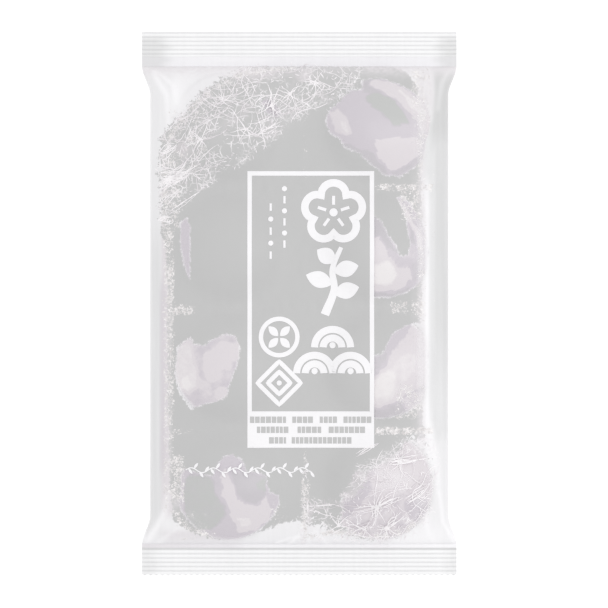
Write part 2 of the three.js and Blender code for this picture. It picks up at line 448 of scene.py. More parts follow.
# The windows, each round its cake's middle: foot row first, and left before right.
WINDOWS = (
    (
        (-18, -9.5), (-19, -6.5), (-18, -2.5), (-18.5, 3), (-17, 6.5), (-6, 4), (-5, 7.5), (-2, 11),
        (1.5, 12.5), (5, 10), (7, 6), (14, 4.5), (15.5, -2), (19.4, -3.5), (19.2, -7), (17.4, -10.5),
        (14.8, -14), (11.5, -17), (6, -20), (-1.5, -20.8), (-6.5, -19.6), (-11.5, -17), (-15.4, -13),
    ),
    (
        (-13.5, -5.5), (-9.5, -3.5), (-6.5, 1), (-4.5, 5.5), (0.5, 8.5), (6, 9.5), (8, 14.5),
        (10.5, 18.5), (13.5, 19), (17.5, 15), (20, 9.5), (21, 2), (20.5, -7.5), (17.5, -13),
        (11, -18), (4, -20.5), (-3.5, -21), (-9.5, -19.5), (-12.5, -17), (-15, -15), (-14.5, -12),
    ),
    (
        (-20, 1.5), (-19.5, 7), (-17, 9.5), (-14.5, 11), (-13.5, 8.5), (-9, 8), (-5.5, 10.5),
        (-1, 12.5), (2.5, 11.5), (4, 8.5), (4, 3.5), (3, -0.5), (1.5, -3.5), (0, -8), (-1, -11.5),
        (-4.5, -13.5), (-7.5, -14), (-11, -15), (-14.5, -16.5), (-16.5, -13.5), (-19, -9.5),
        (-20.5, -3.5),
    ),
    (
        (-3.5, 4), (1.5, 5), (2.5, 8), (4.5, 12), (8, 14.5), (12.5, 16.5), (17, 16.5), (18.5, 13),
        (18.5, -10), (16, -14.5), (9, -18.5), (2.5, -19.5), (-3.5, -19.5),
    ),
    (
        (-18.5, 9.5), (-16, 11), (-14.5, 8.5), (-14.5, -8), (-15, -12.5), (-16, -10.5), (-17.5, -4),
        (-18.5, 1.5),
    ),
    (
        (-1.5, 11.5), (1, 9.5), (3.5, 4.5), (6, 0.5), (8, -3.5), (11, -3), (11.6, 1), (10.6, 6),
        (10.2, 10.5), (8.6, 15), (6.4, 19), (8.5, 19.3), (12, 16.5), (14.5, 12), (17.5, 4.5),
        (18.5, -1), (18, -8.5), (15.5, -13.5), (11, -17), (4, -19.5), (-3.5, -19), (-3.5, 11.5),
    ),
    ((12, 10.5), (16.5, 11.5), (19, 7.5), (19.5, 4), (17.5, 3), (13.5, 6)),
    (
        (-19, -2), (-20.5, 2), (-19.5, 6), (-15.5, 9.5), (-13.5, 12), (-10.5, 14), (-7, 14), (-6, 18),
        (1, 18.6), (6, 17), (11.8, 14), (16.8, 9.5), (19.3, 4), (19, -1), (17.5, -5.5), (16.5, -12),
        (13, -16), (8, -19), (1.5, -18), (-3.5, -14), (-7, -10.5), (-13, -7.5), (-15, -4.5),
    ),
)

# Where fine creases catch the light: left, right, bottom and top in millimetres, and how thickly.
GLINTS = (
    (-52.0, -47.0, -80, 30, 0.45),
    (-48.5, -43.0, -76, -57, 0.47),
    (-52.5, -45.0, 28, 64, 0.4),
    (-46.0, -38.0, 47, 64, 0.34),
    (-50.0, -34.0, 56, 74, 0.38),
    (42.0, 50.0, 74, 90, 0.42),
    (42.0, 50.0, 60, 74, 0.34),
    (44.0, 48.0, 42, 66, 0.4),
    (38.0, 48.0, 31, 46, 0.45),
    (44.0, 48.5, -8, 34, 0.38),
    (36.0, 48.0, -44, -30, 0.42),
    (50.2, 52.2, -30, 50, 0.3),
    (28.0, 51.0, 42.4, 45.6, 0.52),
    (34.0, 42.0, -4.5, 1.5, 0.4),
    (42.0, 48.0, -4.5, 1.5, 0.52),
    (28.0, 51.0, -50.0, -46.4, 0.56),
    (-52.0, -39.0, -4.4, -0.2, 0.5),
    (-26.0, -20.5, -2.4, -1.0, 0.34),
    (-52.0, -40.0, -50.0, -46.8, 0.36),
    (0.8, 3.4, 46, 66, 0.26),
    (1.0, 3.4, -66, -55, 0.4),
    (0.4, 4.4, -90, -66, 0.46),
    (-47.0, -34.0, -91, -78, 0.34),
    (-12.0, -4.0, -86, -74, 0.32),
)

# Lines along which the print's edge is torn into specks, drawn as painted glints.
TORN_LINES = tuple(
    in_metres(points)
    for points in (
        ((-51, 30), (-51.5, 56), (-46.5, 67.5), (-39, 75.5), (-31.5, 82), (-20, 87.5), (-2, 89.5)),
        ((4, -88), (14, -86.5), (30, -88.5), (40, -86.5), (46, -81)),
        ((-47.5, -79), (-44.8, -82.6), (-40.4, -85.8), (-33, -88)),
    )
)


def overlap(x, y, outline, reach=2 * MM):
    """How deep a place lies inside an outline, roughly where it is far outside it."""
    away = max(
        min(p.x for p in outline) - x, x - max(p.x for p in outline),
        min(p.y for p in outline) - y, y - max(p.y for p in outline),
    )
    return -away if away > reach else inside_outline(x, y, outline)


def print_depths(x, y, label, windows):
    """How deep a place lies inside the grey ink, and how deep inside a window."""
    torn = 0.7 * MM * wobble(x, y, 2.3 * MM, 2.3 * MM, 51)
    panel = inside_outline(x, y, PANEL) + torn
    window = max(overlap(x, y, outline) for outline in windows) + 0.6 * torn
    across = label.label_width / 2 - label.border / 2 - abs(x - label.label_across)
    along = label.label_length / 2 - label.border / 2 - abs(y - label.label_along)
    framed = min(across, along)
    return max(min(panel, -window), framed), min(window, -framed)


def glint_density(x, y):
    """How thickly fine creases catch the light, from 0 to 1."""
    torn = min(line_distance(x, y, line)[0] for line in TORN_LINES)
    most = 0.5 * bump(torn, 2.2 * MM)
    for left, right, bottom, top, thickly in GLINTS:
        across = band(x, left * MM, right * MM, 2.2 * MM)
        most = max(most, thickly * across * band(y, bottom * MM, top * MM, 2.2 * MM))
    return most * (1 + 0.45 * wobble(x, y, 3.4 * MM, 3.4 * MM, 61))


class HazeAndPaintedLight:
    """The haze on the clear film, with the shade and highlights painted on it: a colour and how much
    it covers, laid on in coats.
    """

    def __init__(self, tint, cover):
        self.tint, self.cover = Vector(tint), cover

    def coat(self, tint, amount):
        amount = clamp01(amount)
        self.tint = self.tint.lerp(Vector(tint), amount)
        self.cover = 1 - (1 - self.cover) * (1 - amount)

    def thin(self, amount):
        self.cover *= 1 - clamp01(amount)

    def value(self):
        return (*self.tint, self.cover)


# Round patches of haze over the print: place, radius in millimetres, and how thick it is.
FOG = (
    (35, -65.5, 6.5, 0.45), (-5, 74, 6, 0.2), (-31, 66, 5, 0.14),
    (46.5, -74, 4, 0.45), (-48, -75, 3.6, 0.5),
)


def mist_share(x, y, shape):
    """How thickly haze lies over the ink and the cakes: at the neck, along the sides, in patches and,
    painted as a highlight, in the head's right corner.
    """
    neck = 0.0
    if y > 0:
        open_middle = 1 - 0.5 * band(x, -18 * MM, 25 * MM, 8 * MM)
        neck = 0.8 * open_middle * bump(shape.inside_neck(y), 3.6 * MM)
    left = 0.3 * band(x, -51 * MM, -48.4 * MM, 1.2 * MM) * band(y, -66 * MM, 8 * MM, 8 * MM)
    right = 0.12 * band(x, 42.6 * MM, 47.8 * MM, 2 * MM) + 0.48 * band(x, 45 * MM, 47.8 * MM, 2 * MM)
    right *= band(y, -56 * MM, 92 * MM, 10 * MM)
    # In the head's right corner the haze is a painted highlight.
    corner = 0.7 * band(x, 44.5 * MM, 51 * MM, 2 * MM) * band(y, 72 * MM, 92 * MM, 10 * MM)
    fog = max(
        thickly * bump(math.hypot(x - across * MM, y - along * MM), radius * MM)
        for across, along, radius, thickly in FOG
    )
    return max(neck, left, right, corner, fog)


def net_depth(x, y, corners):
    """How deep a place lies inside a corner that is printed with fibres."""
    return max(overlap(x, y, outline, 6 * MM) for outline in corners)


def roof_haze_and_light(x, y, pack, shape, window):
    """The printed face's haze at a place, with the shade and highlights painted on it."""
    tints = pack.colours
    haze_and_light = HazeAndPaintedLight(tints.haze, 0.93)
    fine = wobble(x, y, 1.2 * MM, 70 * MM, 11)
    # Painted shade down the left flank, in streaks, some of them darker.
    left = band(x, -60 * MM, -52 * MM, 1.4 * MM) * band(y, -86 * MM, 56 * MM, 14 * MM)
    left *= mix(1, 0.5, smoothstep((y - 14 * MM) / (26 * MM)))
    haze_and_light.coat(tints.painted_flank_shade, left * (0.7 + 0.5 * fine))
    haze_and_light.coat(tints.painted_shade, left * 0.7 * max(0.0, -fine))
    blush = band(x, -52.2 * MM, -47.4 * MM, 1.6 * MM) * band(y, -80 * MM, 31 * MM, 6 * MM)
    haze_and_light.coat(tints.blush, blush * 0.85)
    dull = band(x, -53 * MM, -49.6 * MM, 1.2 * MM) * band(y, -64 * MM, 8 * MM, 10 * MM)
    haze_and_light.coat(tints.mauve, dull * 0.45)
    drift = smoothstep((-36 * MM - y) / (34 * MM))
    # Painted shade down the right flank.
    right = band(x, mix(49.1 * MM, 50.4 * MM, drift), 59 * MM, 1.3 * MM)
    right *= max(band(y, -54 * MM, 96 * MM, 14 * MM), 0.55 * band(y, -86 * MM, -40 * MM, 8 * MM))
    haze_and_light.coat(tints.painted_flank_shade, right * (0.82 + 0.3 * fine))
    # Painted shade right of the head row's right cake.
    upper_right_shade = band(x, 44 * MM, 51.5 * MM, 2 * MM)
    haze_and_light.coat(tints.painted_flank_shade, upper_right_shade * band(y, 47 * MM, 76 * MM, 8 * MM) * 0.85)
    low_left = band(x, -52 * MM, -22 * MM, 6 * MM) * band(y, -94 * MM, -86 * MM, 3 * MM)
    haze_and_light.coat(tints.blush, low_left * 0.6)
    # Painted shade along the right edge and in the head's right corner.
    shaded = band(x, 51.4 * MM, 59 * MM, 2 * MM) * band(y, -20 * MM, 96 * MM, 40 * MM)
    corner = band(x, 50 * MM, 64 * MM, 3 * MM) * band(y, 60 * MM, 96 * MM, 16 * MM)
    haze_and_light.coat(tints.painted_shade, max(0.34 * shaded, 0.66 * corner))
    # A painted highlight down the right shoulder, where the film would mirror the side softbox.
    highlight_line, highlight_breadth = mix(48.2 * MM, 52.7 * MM, drift), mix(1.3 * MM, 2.0 * MM, drift)
    painted_highlight = bump(x - highlight_line, highlight_breadth) * band(y, -84 * MM, 40 * MM, 20 * MM)
    bright = mix(0.8, 0.45, drift) + 0.2 * wobble(x, y, 3 * MM, 22 * MM, 12)
    haze_and_light.coat(tints.painted_highlight, painted_highlight * bright)
    # Painted shade in the head's left corner.
    upper_left_shade = band(x, -62 * MM, -48 * MM, 4 * MM) * band(y, 56 * MM, 92 * MM, 12 * MM)
    haze_and_light.coat(tints.painted_flank_shade, 0.26 * upper_left_shade)
    # A painted highlight in the head's left corner.
    haze_and_light.coat(tints.painted_highlight, 0.7 * bump(x + 46.5 * MM, 3 * MM) * bump(y - 79 * MM, 8 * MM))
    inside = shape.inside_neck(y)
    haze_and_light.coat(tints.flange, bump(inside, 2.4 * MM) * 0.6)
    # A painted highlight on the slack film at the foot, strongest to the right.
    if y < 0:
        haze_and_light.coat(tints.painted_highlight, bump(x - 43 * MM, 15 * MM) * bump(inside, 9 * MM) * 0.95)
    # Painted highlights along the folds' ridges, where the creased film also whitens a little.
    for points, width, height in FOLDS:
        away, along = line_distance(x, y, points)
        if away < 3 * width:
            lit = 0.95 * clamp01(height / (0.34 * MM))
            haze_and_light.coat(tints.painted_highlight, bump(away, 0.9 * width) * (1 - 0.45 * along) * lit)
    over_cake = max(shape.radius - math.hypot(x - c.x, y - c.y) for c in shape.centres)
    seen = smoothstep(window / (0.8 * MM) + 0.5) * smoothstep((over_cake - 0.2 * MM) / (1.2 * MM))
    haze_and_light.thin(seen * (1 - 0.8 * painted_highlight) * 0.94)
    return haze_and_light.value()


# ---------------------------------------------------------------- modelling tools

SHARP_ANGLE = math.radians(40)


def add_piece(name, bm, material):
    """Makes a piece of the pack from a finished bmesh, in place of the solid that stands for it."""
    mesh = bpy.data.meshes.new(name)
    bm.to_mesh(mesh)
    bm.free()
    mesh.shade_smooth()
    mesh.set_sharp_from_angle(angle=SHARP_ANGLE)
    mesh.materials.append(material)
    piece = bpy.data.objects.new(name, mesh)
    bpy.context.scene.collection.objects.link(piece)
    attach(piece, BODY)
    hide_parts(PACK_NODE)
    return piece


def add_sheet(bm, columns, rows, place):
    """Adds a grid whose points go where place puts them, from shares of -1 to 1 each way."""
    verts = bmesh.ops.create_grid(bm, x_segments=columns, y_segments=rows, size=1)["verts"]
    for vert in verts:
        vert.co = place(vert.co.x, vert.co.y)
    return verts


def thicken(bm, thickness):
    """Gives a sheet its thickness, downwards from a face that points up."""
    bmesh.ops.recalc_face_normals(bm, faces=bm.faces)
    if sum(face.normal.z for face in bm.faces) < 0:
        bmesh.ops.reverse_faces(bm, faces=bm.faces)
    bmesh.ops.solidify(bm, geom=bm.faces[:], thickness=thickness)
    bmesh.ops.recalc_face_normals(bm, faces=bm.faces)


def weld(bm, distance=0.004 * MM):
    bmesh.ops.remove_doubles(bm, verts=bm.verts, dist=distance)
    bmesh.ops.recalc_face_normals(bm, faces=bm.faces)


def lay_strip(bm, spine, half_width, shape, lift, across=1):
    """Lays a strip of ink on the film along a run of points.

    half_width gives half the strip's width at a share of its run.
    """
    steps = len(spine) - 1
    ahead = [spine[min(i + 1, steps)] - spine[max(i - 1, 0)] for i in range(steps + 1)]
    if (spine[0] - spine[-1]).length < 0.01 * MM:
        ahead[0] = ahead[-1] = spine[1] - spine[-2]
    sides = [Vector((-run.y, run.x)).normalized() for run in ahead]

    def place(u, v):
        i = round((u + 1) / 2 * steps)
        at = spine[i] + sides[i] * (v * half_width(i / steps))
        return Vector((at.x, at.y, shape.top_film(at.x, at.y) + lift))

    return add_sheet(bm, steps, across, place)


def lay_patch(bm, left, right, bottom, top, shape, lift, cell=1.1 * MM):
    """Lays a rectangle of ink on the film."""

    def place(u, v):
        x, y = mix(left, right, (u + 1) / 2), mix(bottom, top, (v + 1) / 2)
        return Vector((x, y, shape.top_film(x, y) + lift))

    columns = max(1, round((right - left) / cell))
    return add_sheet(bm, columns, max(1, round((top - bottom) / cell)), place)


def lay_dot(bm, centre, radius, shape, lift, sides=8):
    """Lays a round dot of ink on the film."""
    disc = bmesh.ops.create_circle(bm, cap_ends=True, segments=sides, radius=radius)
    for vert in disc["verts"]:
        x, y = vert.co.x + centre.x, vert.co.y + centre.y
        vert.co = Vector((x, y, shape.top_film(x, y) + lift))
    return disc["verts"]


def toward(angle):
    """A step of length 1 in a direction."""
    return Vector((math.cos(angle), math.sin(angle)))


def circle_points(centre, radius, steps, start=0.0, sweep=2 * math.pi):
    return [centre + toward(start + sweep * i / steps) * radius for i in range(steps + 1)]


# ---------------------------------------------------------------- node tools


def add_node(tree, kind, inputs=None, **settings):
    """Adds a shader node, sets it up, and feeds its inputs with values or other nodes' outputs."""
    made = tree.nodes.new("ShaderNode" + kind)
    for name, value in settings.items():
        setattr(made, name, value)
    for key, value in (inputs or {}).items():
        if isinstance(value, bpy.types.NodeSocket):
            tree.links.new(value, made.inputs[key])
        else:
            made.inputs[key].default_value = value
    return made


def maths(tree, operation, *values, clamp=False):
    inputs = dict(enumerate(values))
    return add_node(tree, "Math", inputs, operation=operation, use_clamp=clamp).outputs[0]


# A Mix node has sockets for each kind of value. These are the ones that it uses for colours.
MIX_SHARE, MIX_FIRST, MIX_SECOND, MIX_RESULT = 0, 6, 7, 2


def blend(tree, share, first, second, **settings):
    """A colour between two, by a share."""
    inputs = {MIX_SHARE: share, MIX_FIRST: first, MIX_SECOND: second}
    return add_node(tree, "Mix", inputs, data_type="RGBA", **settings).outputs[MIX_RESULT]


def opaque(tint):
    return (*tint, 1.0)


def scaled(tree, tint, brightness):
    """A colour, or a socket's colour, times a brightness."""
    grey = add_node(tree, "CombineColor", {0: brightness, 1: brightness, 2: brightness})
    if not isinstance(tint, bpy.types.NodeSocket):
        tint = opaque(tint)
    return blend(tree, 1.0, tint, grey.outputs[0], blend_type="MULTIPLY")


def new_group(name, inputs, outputs):
    """An empty node group with named sockets: its tree, its input node and its output node."""
    tree = bpy.data.node_groups.new(name, "ShaderNodeTree")
    for label, kind, value in inputs:
        socket = tree.interface.new_socket(label, in_out="INPUT", socket_type="NodeSocket" + kind)
        if value is not None:
            socket.default_value = value
    for label, kind in outputs:
        tree.interface.new_socket(label, in_out="OUTPUT", socket_type="NodeSocket" + kind)
    return tree, tree.nodes.new("NodeGroupInput"), tree.nodes.new("NodeGroupOutput")


def ragged_edge_group():
    """A mask that is 1 where a field is over 0, with a ragged edge."""
    inputs = [
        ("Vector", "Vector", None),
        ("Field", "Float", 0.0),
        ("Grain", "Float", 700.0),
        ("Raggedness", "Float", 0.0015),
        ("Softness", "Float", 0.0004),
    ]
    tree, given, result = new_group("Ragged edge", inputs, [("Mask", "Float")])
    sockets = given.outputs
    grain = {"Vector": sockets["Vector"], "Scale": sockets["Grain"], "Detail": 4.0, "Distortion": 1.2}
    rough = add_node(tree, "TexNoise", grain)
    swing = maths(tree, "SUBTRACT", rough.outputs["Fac"], 0.5)
    shifted = maths(tree, "MULTIPLY_ADD", swing, sockets["Raggedness"], sockets["Field"])
    edge = maths(tree, "DIVIDE", shifted, sockets["Softness"])
    mask = maths(tree, "ADD", edge, 0.5, clamp=True)
    tree.links.new(mask, result.inputs["Mask"])
    return tree


def grain_group():
    """Fine mottling: a brightness near 1 and a height for a bump."""
    inputs = [
        ("Vector", "Vector", None),
        ("Scale", "Float", 900.0),
        ("Depth", "Float", 0.06),
    ]
    outputs = [("Brightness", "Float"), ("Height", "Float")]
    tree, given, result = new_group("Fine grain", inputs, outputs)
    sockets = given.outputs
    grain = {"Vector": sockets["Vector"], "Scale": sockets["Scale"], "Detail": 4.0, "Roughness": 0.55}
    speck = add_node(tree, "TexNoise", grain)
    swing = maths(tree, "SUBTRACT", speck.outputs["Fac"], 0.5)
    bright = maths(tree, "MULTIPLY_ADD", swing, sockets["Depth"], 1.0)
    tree.links.new(bright, result.inputs["Brightness"])
    tree.links.new(speck.outputs["Fac"], result.inputs["Height"])
    return tree


def streak_group():
    """Fine streaks that run along Y: a brightness near 1."""
    inputs = [
        ("Vector", "Vector", None),
        ("Across", "Float", 900.0),
        ("Along", "Float", 25.0),
        ("Depth", "Float", 0.1),
    ]
    tree, given, result = new_group("Drawn streaks", inputs, [("Brightness", "Float")])
    sockets = given.outputs
    rates = {"X": sockets["Across"], "Y": sockets["Along"], "Z": sockets["Along"]}
    stretch = add_node(tree, "CombineXYZ", rates)
    vectors = {0: sockets["Vector"], 1: stretch.outputs[0]}
    drawn = add_node(tree, "VectorMath", vectors, operation="MULTIPLY")
    lines = add_node(tree, "TexNoise", {"Vector": drawn.outputs[0], "Scale": 1.0, "Detail": 2.0})
    swing = maths(tree, "SUBTRACT", lines.outputs["Fac"], 0.5)
    bright = maths(tree, "MULTIPLY_ADD", swing, sockets["Depth"], 1.0)
    tree.links.new(bright, result.inputs["Brightness"])
    return tree


def net_group():
    """A net of fine branching lines: a mask that is 1 on a line."""
    inputs = [
        ("Vector", "Vector", None),
        ("Scale", "Float", 210.0),
        ("Width", "Float", 0.07),
        ("Warp", "Float", 0.003),
    ]
    tree, given, result = new_group("Fibre net", inputs, [("Mask", "Float")])
    sockets = given.outputs
    drift = add_node(tree, "TexNoise", {"Vector": sockets["Vector"], "Scale": 420.0, "Detail": 3.0})
    centred = add_node(
        tree, "VectorMath", {0: drift.outputs["Color"], 1: (0.5, 0.5, 0.5)}, operation="SUBTRACT"
    )
    moved = add_node(
        tree, "VectorMath", {0: centred.outputs[0], "Scale": sockets["Warp"]}, operation="SCALE"
    )
    placed = add_node(
        tree, "VectorMath", {0: sockets["Vector"], 1: moved.outputs[0]}, operation="ADD"
    )
    cells = add_node(
        tree, "TexVoronoi", {"Vector": placed.outputs[0], "Scale": sockets["Scale"]},
        voronoi_dimensions="2D", feature="DISTANCE_TO_EDGE",
    )
    off_line = maths(tree, "DIVIDE", cells.outputs["Distance"], sockets["Width"])
    mask = maths(tree, "SUBTRACT", 1.0, off_line, clamp=True)
    tree.links.new(mask, result.inputs["Mask"])
    return tree


GROUP_MAKERS = {
    "Ragged edge": ragged_edge_group,
    "Fine grain": grain_group,
    "Drawn streaks": streak_group,
    "Fibre net": net_group,
}


def use_group(tree, name, inputs):
    """Places a shared node group in a material, making it the first time."""
    group = bpy.data.node_groups.get(name) or GROUP_MAKERS[name]()
    return add_node(tree, "Group", inputs, node_tree=group).outputs


def fine_grain(tree, place, scale, depth):
    """The shared fine grain: its brightness and its height."""
    return use_group(tree, "Fine grain", {"Vector": place, "Scale": scale, "Depth": depth})


def grain_patches(tree, place, scale, depth, level):
    """A mask of soft patches: how far the fine grain's brightness stands over a level, up to 1."""
    bright = fine_grain(tree, place, scale, depth)["Brightness"]
    return maths(tree, "SUBTRACT", bright, level, clamp=True)


def new_material(name):
    """An empty material: itself, its tree and its Object coordinates."""
    material = bpy.data.materials.new(name)
    material.use_nodes = True
    tree = material.node_tree
    tree.nodes.clear()
    place = tree.nodes.new("ShaderNodeTexCoord").outputs["Object"]
    return material, tree, place


def finish_material(material, tree, surface):
    add_node(tree, "OutputMaterial", {"Surface": surface})
    return material


def finish_opaque(material, tree, inputs):
    """Ends a material that isn't clear with its one shader."""
    return finish_material(material, tree, add_node(tree, "BsdfPrincipled", inputs).outputs[0])


def attribute(tree, name):
    return add_node(tree, "Attribute", attribute_name=name).outputs


def roughened(tree, grain, strength, depth):
    """The normals of a surface that the fine grain roughens."""
    inputs = {"Height": grain["Height"], "Strength": strength, "Distance": depth}
    return add_node(tree, "Bump", inputs).outputs[0]


# ---------------------------------------------------------------- materials


def gloss_share(tree, least, most):
    """How much of the light a clear film mirrors: little face on, much at a glance."""
    facing = add_node(tree, "LayerWeight", {"Blend": 0.5}).outputs["Facing"]
    glance = maths(tree, "POWER", facing, 4.0)
    return maths(tree, "MULTIPLY_ADD", glance, most - least, least)


def fibre_lines(tree, place, depth, inside):
    """Fine printed fibres where a mask is 1, thickest at its edge: how white they are at a place."""
    long_net = {"Vector": place, "Scale": 95.0, "Width": 0.03, "Warp": 0.0016}
    wide_net = {"Vector": place, "Scale": 200.0, "Width": 0.05, "Warp": 0.0026}
    close_net = {"Vector": place, "Scale": 640.0, "Width": 0.2, "Warp": 0.0022}
    long, wide, close = (
        use_group(tree, "Fibre net", net)["Mask"] for net in (long_net, wide_net, close_net)
    )
    patchy = grain_patches(tree, place, 150.0, 6.0, 0.75)
    at_edge = maths(tree, "MULTIPLY_ADD", depth, -170.0, 1.0, clamp=True)
    close = maths(tree, "MULTIPLY", close, maths(tree, "MULTIPLY", patchy, at_edge))
    unbroken = grain_patches(tree, place, 120.0, 7.0, 0.7)
    broken = maths(tree, "MULTIPLY", maths(tree, "MAXIMUM", long, wide), unbroken)
    lines = maths(tree, "MAXIMUM", broken, close)
    fade = fine_grain(tree, place, 520.0, 3.0)["Brightness"]
    lit = maths(tree, "MULTIPLY", lines, fade, clamp=True)
    return maths(tree, "MULTIPLY", lit, inside)


def print_over(tree, place, colours, tint, cover, gloss):
    """The film's colour, cover and gloss once ink, fibres, mist and glints lie over it."""
    depth = attribute(tree, "net")["Fac"]
    near_net = maths(tree, "MULTIPLY_ADD", depth, 250.0, 1.0, clamp=True)
    torn = maths(tree, "MULTIPLY_ADD", near_net, 0.008, 0.003)
    edge = {"Vector": place, "Field": attribute(tree, "ink")["Fac"], "Raggedness": torn}
    ink = use_group(tree, "Ragged edge", {**edge, "Grain": 700.0})["Mask"]
    net_edge = {"Vector": place, "Field": depth, "Raggedness": 0.009, "Softness": 0.0015}
    in_net = use_group(tree, "Ragged edge", net_edge)["Mask"]
    lines = fibre_lines(tree, place, depth, in_net)
    cloud = grain_patches(tree, place, 75.0, 5.0, 1.15)
    lilac = maths(tree, "MULTIPLY", maths(tree, "MULTIPLY", cloud, in_net), 0.9)
    mottle = fine_grain(tree, place, 620.0, 2.0)["Brightness"]
    mist = maths(tree, "MULTIPLY", attribute(tree, "mist")["Fac"], mottle, clamp=True)
    field = maths(tree, "MULTIPLY_ADD", attribute(tree, "glints")["Fac"], 1.42, -0.7)
    specks = {"Vector": place, "Field": field, "Grain": 1100.0, "Raggedness": 1.9}
    glint = use_group(tree, "Ragged edge", {**specks, "Softness": 0.14})["Mask"]
    dull = grain_patches(tree, place, 800.0, 3.2, 0.5)
    sparkle = blend(tree, dull, opaque(colours.dull_glint), opaque(colours.glint))
    grain = fine_grain(tree, place, 260.0, 0.012)["Brightness"]
    coats = (
        (ink, scaled(tree, colours.ink, grain)),
        (lilac, opaque(colours.pale)),
        (mist, opaque(colours.mist)),
        (lines, opaque(colours.fibre)),
        (glint, sparkle),
    )
    for share, coat in coats:
        tint = blend(tree, share, tint, coat)
    for share in (ink, mist, lines, glint):
        cover = maths(tree, "MAXIMUM", cover, share)
    dulled = maths(tree, "MULTIPLY_ADD", ink, -0.75, 1.0)
    return tint, cover, maths(tree, "MULTIPLY", gloss, dulled)


def film_material(colours, printed):
    """Clear glossy film: its haze, painted shade and painted highlights and, on the printed face, the
    print over it.
    """
    material, tree, place = new_material("printed film" if printed else "plain film")
    haze_and_light = attribute(tree, "haze_and_light")
    streaks = use_group(tree, "Drawn streaks", {"Vector": place, "Depth": 0.05})
    tint = scaled(tree, haze_and_light["Color"], streaks["Brightness"])
    cover = haze_and_light["Alpha"]
    gloss = gloss_share(tree, 0.035, 0.5)
    if printed:
        tint, cover, gloss = print_over(tree, place, colours, tint, cover, gloss)
    clear = add_node(tree, "BsdfTransparent")
    haze = {"Base Color": tint, "Roughness": 0.55, "Specular IOR Level": 0.15}
    body = add_node(tree, "BsdfPrincipled", haze)
    sheet = add_node(tree, "MixShader", {0: cover, 1: clear.outputs[0], 2: body.outputs[0]})
    sheen = add_node(tree, "BsdfGlossy", {"Color": (1, 1, 1, 1), "Roughness": 0.3})
    surface = add_node(tree, "MixShader", {0: gloss, 1: sheet.outputs[0], 2: sheen.outputs[0]})
    return finish_material(material, tree, surface.outputs[0])


def ink_material(name, tint, depth, roughness):
    """Ink on the film, a little uneven."""
    material, tree, place = new_material(name)
    grain = fine_grain(tree, place, 420.0, depth)
    uneven = scaled(tree, tint, grain["Brightness"])
    normals = roughened(tree, grain, 0.15, 0.05 * MM)
    looks = {"Base Color": uneven, "Roughness": roughness, "Normal": normals}
    return finish_opaque(material, tree, looks)


def fibre_material(colours):
    """Ink of the printed fibres, from dull mauve to white by each fibre's shade."""
    material, tree, place = new_material("fibre ink")
    grain = fine_grain(tree, place, 900.0, 0.5)
    swing = maths(tree, "SUBTRACT", grain["Brightness"], 1.0)
    share = maths(tree, "ADD", attribute(tree, "shade")["Fac"], swing, clamp=True)
    tint = blend(tree, share, opaque(colours.blush), opaque(colours.fibre))
    return finish_opaque(material, tree, {"Base Color": tint, "Roughness": 0.5})


def dough_material(colours):
    """Rice dough, dusted with starch, from plum to cream by the cake's tone, which holds painted shade
    and highlights.
    """
    material, tree, place = new_material("dusted rice dough")
    tone = attribute(tree, "tone")["Fac"]
    cloudy = {"Vector": place, "Scale": 420.0, "Detail": 4.0, "Roughness": 0.6}
    soft = add_node(tree, "TexNoise", cloudy)
    swing = maths(tree, "SUBTRACT", soft.outputs["Fac"], 0.5)
    uneven = maths(tree, "MULTIPLY_ADD", swing, 0.22, tone)
    ramp = add_node(tree, "ValToRGB", {"Fac": uneven})
    stops = (
        (0.08, colours.shadow), (0.24, colours.plum), (0.36, colours.plum), (0.46, colours.mauve),
        (0.56, colours.mauve), (0.66, colours.pale), (0.8, colours.pale), (0.95, colours.cream),
    )
    elements = ramp.color_ramp.elements
    while len(elements) < len(stops):
        elements.new(0.5)
    for element, (position, tint) in zip(elements, stops):
        element.position = position
        element.color = opaque(tint)
    grain = fine_grain(tree, place, 2400.0, 0.07)
    dusted = scaled(tree, ramp.outputs["Color"], grain["Brightness"])
    normals = roughened(tree, grain, 0.35, 0.12 * MM)
    looks = {"Base Color": dusted, "Roughness": 0.7, "Specular IOR Level": 0.3, "Normal": normals}
    return finish_opaque(material, tree, looks)


def tray_material(colours):
    """Milky plastic with the faint lines of its drawing."""
    material, tree, place = new_material("milky tray plastic")
    streaks = use_group(tree, "Drawn streaks", {"Vector": place, "Across": 400.0, "Depth": 0.05})
    tint = scaled(tree, colours.tray, streaks["Brightness"])
    normals = roughened(tree, fine_grain(tree, place, 600.0, 0.06), 0.2, 0.08 * MM)
    return finish_opaque(material, tree, {"Base Color": tint, "Roughness": 0.38, "Normal": normals})


def floor_material():
    """White studio paper that keeps its brightness under the pack."""
    material, tree, place = new_material("studio paper")
    grain = fine_grain(tree, place, 40.0, 0.01)
    looks = {
        "Base Color": scaled(tree, (0.5, 0.5, 0.5), grain["Brightness"]),
        "Roughness": 0.9,
        "Specular IOR Level": 0.0,
        "Emission Color": (1, 1, 1, 1),
        "Emission Strength": 0.62,
    }
    return finish_opaque(material, tree, looks)


# ---------------------------------------------------------------- pieces


SLEEVE_ROWS = 240
ROOF_COLUMNS = 152
BASE_COLUMNS = 88


